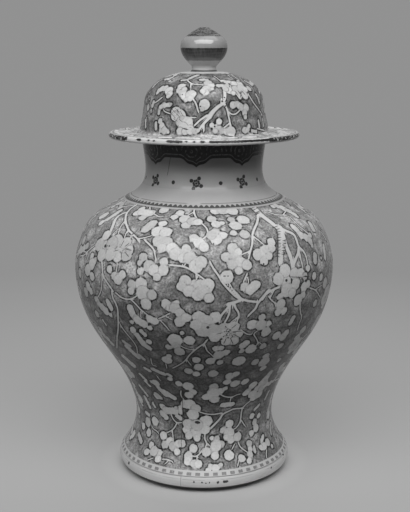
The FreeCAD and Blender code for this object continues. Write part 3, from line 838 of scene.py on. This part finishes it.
class Paint:
    # One material on its node tree, with the place in millimetres, the height, the radius and the
    # azimuth from the front as wires
    def __init__(self, name):
        self.material = bpy.data.materials.new(name)
        self.material.use_nodes = True
        self.tree = self.material.node_tree
        self.shader = self.tree.nodes["Principled BSDF"]
        place = self.node("ShaderNodeTexCoord", {}, {}, "Object")
        self.place = self.vector("SCALE", {0: place, "Scale": 1 / mm})
        x, y, self.height = [self.node("ShaderNodeSeparateXYZ", {}, {0: self.place}, axis) for axis in "XYZ"]
        self.radius = x.diagonal(y)
        self.turns = x.maths("ARCTAN2", x, 0 - y) / fullTurn

    def node(self, kind, settings, values, outlet=0):
        made = self.tree.nodes.new(kind)
        for name, value in settings.items():
            setattr(made, name, value)
        for name, value in values.items():
            self.feed(made.inputs[name], value)
        return Wire(self, made.outputs[outlet])

    def vector(self, operation, values, outlet=0):
        return self.node("ShaderNodeVectorMath", {"operation": operation}, values, outlet)

    def feed(self, socket, value):
        if isinstance(value, Wire):
            self.tree.links.new(value.socket, socket)
        else:
            socket.default_value = value

    def field(self, name, outlet="Fac"):
        return self.node("ShaderNodeAttribute", {"attribute_name": name}, {}, outlet)

    def noise(self, period, detail=2.0, where=None):
        return self.node("ShaderNodeTexNoise", {}, {"Vector": where or self.place, "Scale": 1 / period,
                                                    "Detail": detail, "Roughness": 0.6}, "Fac")

    def sway(self, reach, period, detail=2.0, where=None):
        # Noise about zero, up to half a reach to either side
        return (self.noise(period, detail, where) - 0.5) * reach

    def warped(self, period, reach):
        # The place, pushed about by up to half a reach
        push = {"Vector": self.place, "Scale": 1 / period, "Detail": 2.0}
        push = self.node("ShaderNodeTexNoise", {}, push, "Color")
        push = self.vector("SUBTRACT", {0: push, 1: (0.5, 0.5, 0.5)})
        return self.vector("MULTIPLY_ADD", {0: push, 1: (reach, reach, reach), 2: self.place})

    def cells(self, feature, spacing, outlet="Distance", where=None):
        # Scattered points and the cells round them, measured in spacings
        return self.node("ShaderNodeTexVoronoi", {"feature": feature},
                         {"Vector": where or self.place, "Scale": 1 / spacing}, outlet)

    def drawnLine(self, inner=0.7, outer=1.2, ragged=0.0):
        # The dark lines drawn on a wall, as a mask
        side, gap = abs(self.field("lineSide")), self.field("lineGap")
        return (side + ragged).fall(inner, outer) * gap.fall(0.9, 1.5)

    def finish(self, tone, roughness=glaze["roughness"], wobble=glaze["wobble"],
               period=glaze["wobblePeriod"]):
        # Grey of a given tone, and a surface that waves a little
        colour = self.node("ShaderNodeMix", {"data_type": "RGBA"}, {0: tone, 6: grey(0), 7: grey(1)}, 2)
        bump = {"Height": self.noise(period, 1.0), "Distance": wobble * mm}
        dressed = {"Base Color": colour, "Roughness": roughness, "Specular IOR Level": glaze["gloss"],
                   "Normal": self.node("ShaderNodeBump", {}, bump, "Normal")}
        for name, value in dressed.items():
            self.feed(self.shader.inputs[name], value)
        return self.material


# Floor, room and lamps, in metres. Tones are greys, the background's the one that the camera sees.
studio = {"floorRadius": 14, "floorSides": 96, "floorTone": 0.44, "floorRoughness": 0.9, "floorGloss": 0.1,
          "bounceRadius": 0.2, "bounceTone": 0.45, "bounceDepth": 0.0005, "backgroundTone": 0.285,
          "evenShare": 0.45, "contact": (0.088, 0.13), "fade": (0.15, 1.1), "roomTone": 0.05,
          "aim": (0, 0, 0.30)}
seenRays = ("Camera", "Glossy", "Transmission")
lamps = {
    "window": {"place": (0.0, -1.06, 1.70), "size": (2.6, 1.15), "power": 52},
    "backWindow": {"place": (0.1, 1.5, 1.5), "size": (2.6, 1.15), "power": 26,
                   "hiddenFrom": ("camera", "glossy")},
    "card": {"place": (0.35, -0.35, 1.9), "size": (2.2, 1.3), "power": 12,
             "hiddenFrom": ("camera", "diffuse")},
    "fill": {"place": (-1.6, -1.2, 0.9), "size": (1.6, 1.6), "power": 3.5},
}


def paperDisc(name, paperName, radius, height, tone):
    rim = turnPoints(np.array([[radius, height]]), studio["floorSides"])[0]
    disc = meshFrom(name, rim, [np.arange(len(rim))])
    paint = Paint(paperName)
    paint.feed(paint.shader.inputs["Base Color"], grey(tone))
    disc.data.materials.append(paint.material)
    return disc, paint


def makeFloor():
    # A wide round floor. The camera and the glaze see it partly, and far off wholly, at the even tone of
    # the background, so no edge of it shows on any side and the jar's shadow stays soft.
    floor, paint = paperDisc("floor", "floor paper", studio["floorRadius"], 0, studio["floorTone"])
    paint.feed(paint.shader.inputs["Roughness"], studio["floorRoughness"])
    paint.feed(paint.shader.inputs["Specular IOR Level"], studio["floorGloss"])
    seen = [paint.node("ShaderNodeLightPath", {}, {}, "Is %s Ray" % kind) for kind in seenRays]
    near = paint.radius.rise(*[radius / mm for radius in studio["contact"]])
    far = paint.radius.rise(*[radius / mm for radius in studio["fade"]])
    share = (seen[0] + seen[1] + seen[2]) * laid(near * studio["evenShare"], 1, far)
    glow = paint.node("ShaderNodeEmission", {}, {"Color": grey(studio["backgroundTone"])})
    plain = Wire(paint, paint.shader.outputs[0])
    mix = paint.node("ShaderNodeMixShader", {}, {0: share, 1: plain, 2: glow})
    paint.feed(paint.tree.nodes["Material Output"].inputs["Surface"], mix)
    floor.visible_diffuse = floor.visible_shadow = False


def makeNearFloor():
    # The paper close round the foot throws light back up at it, seen by nothing else
    radius, height = studio["bounceRadius"], -studio["bounceDepth"]
    near = paperDisc("nearFloor", "near paper", radius, height, studio["bounceTone"])[0]
    near.visible_camera = near.visible_glossy = near.visible_transmission = near.visible_shadow = False


def makeRoom():
    # A dim room that lights the jar, seen by the camera and the glaze as the background's tone
    world = bpy.data.worlds.new("room")
    world.use_nodes = True
    nodes, links = world.node_tree.nodes, world.node_tree.links
    dim, even = nodes["Background"], nodes.new("ShaderNodeBackground")
    dim.inputs["Color"].default_value = grey(studio["roomTone"])
    even.inputs["Color"].default_value = grey(studio["backgroundTone"])
    light, mix = nodes.new("ShaderNodeLightPath"), nodes.new("ShaderNodeMixShader")
    seen = light.outputs["Is %s Ray" % seenRays[0]]
    for kind in seenRays[1:]:
        both = nodes.new("ShaderNodeMath")
        links.new(seen, both.inputs[0])
        links.new(light.outputs["Is %s Ray" % kind], both.inputs[1])
        seen = both.outputs[0]
    links.new(seen, mix.inputs["Fac"])
    links.new(dim.outputs[0], mix.inputs[1])
    links.new(even.outputs[0], mix.inputs[2])
    links.new(mix.outputs[0], nodes["World Output"].inputs["Surface"])
    bpy.context.scene.world = world


def makeLamp(name, place, size, power, hiddenFrom=("camera",)):
    data = bpy.data.lights.new(name, "AREA")
    data.shape = "RECTANGLE"
    data.size, data.size_y = size
    data.energy = power
    lamp = newObject(name, data)
    lamp.location = place
    for ray in hiddenFrom:
        setattr(lamp, "visible_" + ray, False)
    away = Vector(place) - Vector(studio["aim"])
    lamp.rotation_euler = away.to_track_quat("Z", "Y").to_euler()


makeFloor()
makeNearFloor()
makeRoom()
for name, lamp in lamps.items():
    makeLamp(name, **lamp)
bpy.context.scene.view_settings.view_transform = "Standard"
print("studio ready")


def whiteGlaze(paint):
    # Pale glaze: a slow drift of tone and a few iron specks
    tone = glaze["white"] + paint.sway(2 * glaze["whiteDrift"], glaze["driftPeriod"], 3.0)
    return laid(tone, glaze["speckTone"], paint.cells("F1", glaze["speckSpacing"]).fall(0.012, 0.022))


# The wash, in millimetres: its tone and how far patches, pools and strokes depart from it, the channels
# between the patches, and the edges of what is left white in it
wash = {"tone": 0.235, "leastTone": 0.04, "patch": 0.20, "pool": 0.26, "stroke": 0.16, "cellSize": 15,
        "warpPeriod": 9, "warpReach": 7, "poolPeriod": 7, "speckPeriod": 2.4, "grainPeriod": 2.0,
        "strokeRate": 1.6, "channel": (0.6, 3.4), "channelTone": 0.088, "haloWidth": 3.2, "haloTone": 0.06,
        "outlineTone": 0.012, "veinTone": 0.05, "speckTone": 0.04}


def washGround(paint, darker):
    # Washes in patches, parted by darker speckled channels, like ice that has cracked
    where = paint.warped(wash["warpPeriod"], wash["warpReach"])
    cell = paint.cells("F1", wash["cellSize"], "Color", where)
    patch = paint.node("ShaderNodeSeparateColor", {}, {0: cell}, 0)
    edge = paint.cells("DISTANCE_TO_EDGE", wash["cellSize"], where=where) * wash["cellSize"]
    speck = paint.noise(wash["speckPeriod"]).rise(0.3, 0.7)
    grain = paint.noise(wash["grainPeriod"], 1.0).rise(0.3, 0.7)
    # Each patch is washed in strokes of its own direction
    lean = paint.vector("SUBTRACT", {0: cell, 1: (0.5, 0.5, 0.5)})
    lean = paint.vector("DOT_PRODUCT", {0: lean, 1: where}, "Value")
    stroke = {"W": lean * wash["strokeRate"], "Detail": 1.0}
    stroke = paint.node("ShaderNodeTexNoise", {"noise_dimensions": "1D"}, stroke, "Fac")
    tone = wash["tone"] + (patch - 0.5) * wash["patch"] + paint.sway(wash["pool"], wash["poolPeriod"])
    tone = (tone + (stroke - 0.5) * wash["stroke"]).greater(wash["leastTone"])
    tone = tone * (0.78 + speck * 0.44) * darker
    channel = edge.fall(*wash["channel"]) * (0.2 + speck * 0.8)
    return laid(tone, wash["channelTone"] * darker * darker, channel * 0.9) * (0.6 + grain * 0.8)


def brushwork(paint, darker, ragged, lift=0.0, faint=0.0):
    # Blossoms, buds and twigs left white in the wash, with soft dark edges and thin drawn rims
    petal, rim = paint.field("petal"), paint.field("petalRim")
    twigSide, twigGap = abs(paint.field("twigSide")), paint.field("twigGap")
    uneven = paint.noise(2.2) - 0.5
    patchy = paint.noise(6.5, 1.0)
    lobed = paint.noise(4.2, 1.0)
    grain = paint.noise(wash["grainPeriod"], 1.0).rise(0.3, 0.7)
    petal = petal + uneven * 1.2 + (lobed - 0.5) * ragged + 0.1
    shy = petal.lesser(twigGap + uneven * 0.8 + 0.4)
    halo = shy.fall(0.5, wash["haloWidth"]) * patchy.rise(0.45, 0.6) * (0.55 - faint * 0.05)
    tone = laid(washGround(paint, darker), wash["haloTone"] * darker, halo)
    drawn = shy.fall(1.1, 2.2) * lobed.rise(0.33, 0.5) * (0.75 + grain * 0.5) * (1 - faint * 0.1)
    tone = laid(tone, wash["outlineTone"], drawn.lesser(1.0))
    twig = twigSide.fall(0.7, 1.15) * twigGap.fall(0.7, 1.5)
    tone = laid(tone, glaze["petal"] * 0.95 + uneven * 0.12, twig)
    leaf = glaze["petal"] + (patchy - 0.5) * 0.1 + uneven * 0.12 + lift
    leaf = leaf * (1 + paint.field("petalShade")) - rim.fall(0.2, 0.9) * patchy.rise(0.42, 0.6) * 0.24
    tone = laid(tone, leaf * (0.92 + grain * 0.15), petal.fall(-0.25, 0.3))
    dot = paint.vector("LENGTH", {0: paint.field("dotFrom", "Vector")}, "Value")
    tone = laid(tone, wash["speckTone"], dot.fall(0.75, 1.15) * paint.field("dotGap").fall(1.3, 1.7))
    return laid(tone, wash["veinTone"], paint.drawnLine())


def onlyOutside(paint, tone):
    # The brushwork stays off the inside of the wall, which is plain pale glaze
    return laid(whiteGlaze(paint), tone, paint.field("outside").rise(0.4, 0.6))


# Lines and bands of the body, and where shade and sheen are painted on it, by height in millimetres
bodyBands = {"ground": (25.7, 325.9), "waistShadeFrom": (60, 110), "waistShadeTo": (140, 255), "shoulder": (190, 270),
             "shadeTowardNeck": (300, 327), "hatch": (20.9, 23.9), "hatchCount": 62, "hatchShare": 0.56,
             "hatchTone": 0.13, "groove": (20.1, 20.6), "rope": 327.1, "ropeCount": 48, "ropeSwell": 1.9,
             "ropeTone": 0.045, "thinLine": 331.1, "lineTone": 0.12}


def paintedBody():
    paint = Paint("painted body")
    bands, height = bodyBands, paint.height
    # The wash is painted lighter on the shoulder, a painted sheen with fainter outlines, and darker where the
    # body draws in, painted shade under the belly. The petals get a little painted light in the waist and a
    # little painted shade on the shoulder.
    waistShade = height.rise(*bands["waistShadeFrom"]) * height.fall(*bands["waistShadeTo"])
    high = height.rise(*bands["shoulder"])
    darker = (1.15 - paint.sway(0.5, 60, 1.0)) * (1 - waistShade * 0.6) * (1 + high * 0.12)
    # The white glaze is painted a little greyer all over, and greyer still towards the neck as painted shade
    tone = whiteGlaze(paint) * (0.94 - height.rise(*bands["shadeTowardNeck"]) * 0.22)
    uneven = paint.noise(2.5)
    square = (paint.turns * bands["hatchCount"]).fraction().within(0.02, bands["hatchShare"], 0.03)
    hatch = (paint.turns * bands["hatchCount"] * 6 + height * 0.9).fraction().rise(0.25, 0.5)
    square = square * height.within(*bands["hatch"], 0.2) * (0.62 + hatch * 0.38)
    tone = laid(tone, bands["hatchTone"], square * uneven.rise(0.2, 0.45))
    tone = laid(tone, bands["lineTone"], height.fall(*bands["groove"]) * 0.75)
    # A dark running line of humps under a thin line, between the neck and the painted ground
    hump = abs((paint.turns * bands["ropeCount"] * fullTurn).sine()) * bands["ropeSwell"]
    rope = height.above(bands["rope"], 0.2) * (height - bands["rope"] - hump).fall(0.6, 1.1)
    tone = laid(tone, bands["ropeTone"], rope * uneven.rise(0.1, 0.35) * 0.92)
    thin = height.within(bands["thinLine"] - 0.25, bands["thinLine"] + 0.25, 0.15)
    tone = laid(tone, bands["lineTone"], thin * paint.noise(16, 1.0).rise(0.3, 0.42) * 0.9)
    painted = brushwork(paint, darker, 2.4, waistShade * 0.02 - high * 0.045, high)
    tone = onlyOutside(paint, laid(tone, painted, height.within(*bands["ground"], 0.15)))
    return paint.finish(tone, glaze["paintedRoughness"] + (uneven - 0.5) * 0.1)


# Pointed lappets that hang from the mouth, and the florets below them, eight of each. One quarter of a
# floret: how far a dot lies aside and up from the middle, and its radius.
neckBands = {"count": 8, "azimuth": -7 / 360, "tip": 368.5, "valley": 378.5, "sideShare": 0.68, "tone": 0.03,
             "border": (3.3, 4.3), "paleTone": 0.2, "curlLevel": 386, "inkTone": 0.03, "floretLevel": 351,
             "floretTurn": 0.3, "dots": [(0, 0, 1.3), (2.8, 1.0, 1.35), (1.0, 2.9, 1.35), (4.4, 4.3, 2.1)],
             "single": 2.1, "shadedAbove": (360, 374), "shadedBelow": (334, 348)}


def paintedNeck():
    paint = Paint("painted neck")
    bands, height, count = neckBands, paint.height, neckBands["count"]
    share = (paint.turns * count - bands["azimuth"] * count + 0.5).fraction() - 0.5
    # Each lappet swells in two lobes on its way up from the point: a straight flank and half waves on it
    flank = (abs(share) * 2).rise(0, bands["sideShare"])
    lobes = (flank * 3 * math.pi).sine() * 0.07
    depth = height - (bands["tip"] + (bands["valley"] - bands["tip"]) * (flank + lobes))
    uneven = paint.noise(2.2)
    # The neck's white is painted greyer all over, with painted shade of the brim near the top and painted
    # shade near the foot of the neck
    tone = 0.78 - height.rise(*bands["shadedAbove"]) * 0.3 - height.fall(*bands["shadedBelow"]) * 0.36
    tone = whiteGlaze(paint) * tone
    curl = ((paint.turns * count * 2).fraction() - 0.5) * math.pi / count * paint.radius
    curl = curl.diagonal(height - bands["curlLevel"]) + (uneven - 0.5) * 2
    scroll = (curl * 1.25).sine().rise(0.4, 0.9) * depth.rise(6.5, 8) * paint.noise(5, 1.0).rise(0.42, 0.55)
    pale = depth.within(*bands["border"], 0.3).greater(scroll) * uneven.rise(0.3, 0.5) * 0.8
    lappet = laid(bands["tone"] * (0.6 + uneven * 0.8), bands["paleTone"], pale)
    tone = laid(tone, lappet, depth.above(0, 0.25))
    # Florets: a ring of small dots about a middle one, four larger ones outside, all turned a little
    across = share * fullTurn / count * paint.radius
    upward = height - bands["floretLevel"]
    cosTurn, sinTurn = math.cos(bands["floretTurn"]), math.sin(bands["floretTurn"])
    right, up = abs(across * cosTurn + upward * sinTurn), abs(upward * cosTurn - across * sinTurn)
    midway = (abs(share) - 0.5) * fullTurn / count * paint.radius
    ink = midway.diagonal(upward) - bands["single"]
    for dotRight, dotUp, radius in bands["dots"]:
        ink = ink.lesser((right - dotRight).diagonal(up - dotUp) - radius)
    ink = ink + (uneven - 0.5) * 0.7
    tone = laid(tone, bands["inkTone"], ink.fall(-0.2, 0.3) * 0.98)
    tone = onlyOutside(paint, laid(tone, bands["inkTone"], paint.drawnLine(0.8, 1.4)))
    return paint.finish(tone, glaze["roughness"] + (uneven - 0.5) * 0.04)


domeBands = {"groundHigh": 468.6, "flare": (403.6, 407.6)}


def paintedDome():
    paint = Paint("painted cover")
    # The wash pales where the wall flares out to the brim
    darker = (0.84 - paint.sway(0.8, 30, 1.0)) * (1 + paint.height.fall(*domeBands["flare"]) * 0.8)
    tone = brushwork(paint, darker, 1.6, -0.06)
    tone = onlyOutside(paint, laid(whiteGlaze(paint), tone, paint.height.below(domeBands["groundHigh"], 0.2)))
    return paint.finish(tone, glaze["paintedRoughness"] - 0.06)


brimBands = {"top": (401, 401.2), "under": (397.8, 399.8), "groundOuter": 105.6, "edgeTone": 0.07,
             "dashTone": 0.015, "wornTone": 0.02}


def paintedBrim():
    paint = Paint("painted brim")
    top, outer = paint.height.rise(*brimBands["top"]), brimBands["groundOuter"]
    painted = brushwork(paint, 1.7 - paint.sway(0.9, 20, 1.0), 2.4, 0.18, 3)
    # The white low on the brim's edge and on its underside is painted up to 1.8 times brighter: painted light
    # where the brim is in shade
    white = whiteGlaze(paint) * (1.02 + paint.height.fall(*brimBands["under"]) * 0.79)
    tone = laid(white, painted, paint.radius.below(outer, 0.3) * top)
    line = paint.radius.within(outer - 0.6, outer + 0.4, 0.2) * top
    tone = laid(tone, brimBands["edgeTone"], line * paint.noise(9, 1.0).rise(0.4, 0.5) * 0.9)
    tone = laid(tone, brimBands["dashTone"], paint.drawnLine(ragged=paint.sway(1.2, 2.5)))
    worn = paint.field("wear").fall(-0.5, 1.2) * paint.noise(2.6, 3.0).rise(0.38, 0.45)
    return paint.finish(onlyOutside(paint, laid(tone, brimBands["wornTone"], worn)))


# The white foot roll: painted brighter low on the roll as painted light from the floor, and a dark band at
# its standing edge as painted shade under the roll; a scored line worn through in places, a hairline crack
# and chips. Heights in millimetres, the crack and the chips where the photograph shows them.
footMarks = {"edge": 7.2, "edgeTone": 0.02, "paler": (8, 13.5), "scoreLevel": 16.6, "scoreTone": 0.14,
             "seam": (19.3, 19.8), "seamTone": 0.112, "crack": (181, 477), "chipTone": 0.05, "chips": [
              (194, 482.2, 1.2), (202, 482.6, 1), (206, 483, 0.8), (209.5, 482.5, 1.1), (218, 482.2, 1.7),
              (224.5, 481.6, 2), (227, 481.2, 1.7), (129, 463, 2.2), (271, 467.5, 1.4), (283.3, 449.5, 2.6),
              (282.7, 454, 2.4),
             ]}


def footGlaze():
    paint = Paint("foot glaze")
    marks, height = footMarks, paint.height
    ring = outlineOf("foot_ring")
    ring = ring[:int(np.argmax(ring[:, 1] > ring[:, 1].max() - 0.01)) + 1]
    # Painted light: the white is painted brighter low on the roll, where the floor would throw light back up
    tone = whiteGlaze(paint) * (0.96 + height.fall(*marks["paler"]) * 0.36)
    uneven = paint.noise(14)
    score = height.within(marks["scoreLevel"] - 0.3, marks["scoreLevel"] + 0.1, 0.2)
    tone = laid(tone, marks["scoreTone"], score * uneven.rise(0.44, 0.56) * 0.7)
    tone = laid(tone, marks["seamTone"], height.rise(*marks["seam"]) * 0.7)
    # Painted shade: a dark band at the standing edge, under the roll
    tone = laid(tone, marks["edgeTone"], height.below(marks["edge"], 0.4))
    column, row = marks["crack"]
    crack = castOn(ring, [column], [row])[0]
    aside = abs(paint.turns - math.atan2(crack[0], -crack[1]) / fullTurn) * paint.radius * fullTurn
    tone = laid(tone, marks["scoreTone"], (aside + (uneven - 0.5) * 0.8).fall(0.25, 0.6) * 0.5)
    for x, y, size in marks["chips"]:
        place = tuple(castOn(ring, [x], [y])[0])
        chip = paint.vector("DISTANCE", {0: paint.place, 1: place}, "Value") + paint.sway(2, 1.6, 1.0)
        tone = laid(tone, marks["chipTone"], chip.fall(size * 0.8, size))
    return paint.finish(tone, glaze["roughness"] + 0.03, glaze["wobble"] * 0.7, 25)


def baseGlaze():
    # The recessed base, thinly glazed, with a ring of pinholes and kiln grit
    paint = Paint("base glaze")
    grit = paint.cells("F1", 6).fall(0.05, 0.09) * paint.noise(18, 1.0).rise(0.5, 0.6)
    return paint.finish(laid(whiteGlaze(paint) * 0.9, 0.16, grit), 0.2, 0.5, 22)


def bareClay():
    # Unglazed biscuit: fine grain and wheel rings
    paint = Paint("bare clay")
    rings = (paint.height * 2.4 + paint.noise(12, 1.0) * 3).sine() * 0.02
    tone = 0.60 + rings + paint.sway(0.12, 1.1, 3.0) + paint.sway(0.08, 16)
    return paint.finish(tone, 0.75 + paint.sway(0.2, 2), 0.25, 1.4)


stemMarks = {"seam": (471.7, 472.7), "seamTone": 0.03}


def stemGlaze():
    paint = Paint("stem glaze")
    tone = laid(whiteGlaze(paint) * 0.86, stemMarks["seamTone"], paint.height.fall(*stemMarks["seam"]) * 0.85)
    return paint.finish(tone, wobble=glaze["wobble"] * 0.6, period=12)


# The bud's wash: a dark cap, a pale zone, a dark belt with combed streaks and a greyer foot
knobBands = {"cap": 509.2, "capTone": 0.085, "pale": (495.9, 496.7), "paleTone": 0.25, "belt": (482.6, 488.1),
             "beltTone": 0.042, "beltPaler": (485.6, 493), "beltDarker": (494.4, 495.4), "foot": 482.4,
             "footTone": 0.15, "specks": (505, 508), "speckSpacing": 3.4, "speckTone": 0.03, "gloss": 0.6}


def knobGlaze():
    paint = Paint("knob glaze")
    bands, height = knobBands, paint.height + paint.sway(1.2, 5)
    streak = paint.node("ShaderNodeCombineXYZ", {}, {0: paint.turns * 70, 1: paint.height * 0.1, 2: 0.0})
    rings = paint.node("ShaderNodeCombineXYZ", {}, {0: paint.turns * 5, 1: paint.height * 0.75, 2: 0.0})
    streak = paint.noise(1.0, 2.0, streak) - 0.5
    tone = laid(whiteGlaze(paint) * 0.86, bands["footTone"], height.above(bands["foot"], 0.4))
    belt = bands["beltTone"] + streak * 0.14 + height.fall(*bands["beltPaler"]) * 0.05
    belt = belt + paint.sway(0.12, 1.0, 2.0, rings) - height.rise(*bands["beltDarker"]) * 0.04
    tone = laid(tone, belt.greater(0.008), height.rise(*bands["belt"]))
    tone = laid(tone, bands["paleTone"] + streak * 0.06, height.rise(*bands["pale"]))
    cap = bands["capTone"] + paint.sway(0.4, 1.8) + paint.sway(0.5, 1.0, 2.0, rings)
    tone = laid(tone, cap.greater(0.012), height.above(bands["cap"], 0.3))
    specks = paint.cells("F1", bands["speckSpacing"]).fall(0.13, 0.2) * paint.noise(7, 1.0).rise(0.5, 0.58)
    tone = laid(tone, bands["speckTone"], specks * (0.35 + paint.height.rise(*bands["specks"]) * 0.65))
    finish = paint.finish(tone, wobble=glaze["wobble"] * 0.6, period=14)
    paint.feed(paint.shader.inputs["Specular IOR Level"], bands["gloss"])
    return finish


bodyPaint = paintedBody()
walls["lower_body"].build(bodyPaint, "painted_body")
walls["upper_body"].build(bodyPaint, "painted_body")
walls["neck"].build(paintedNeck(), "painted_neck")
walls["cover_brim"].build(paintedBrim(), "painted_brim")
walls["cover_dome"].build(paintedDome(), "painted_cover")
print("painted walls built")

plainPieces = {"foot_ring": footGlaze, "base": baseGlaze, "cover_collar": bareClay, "knob_stem": stemGlaze,
               "knob": knobGlaze}
for node, makePaint in plainPieces.items():
    finish = makePaint()
    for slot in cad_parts[node].material_slots:
        slot.material = finish
print("plain pieces glazed")
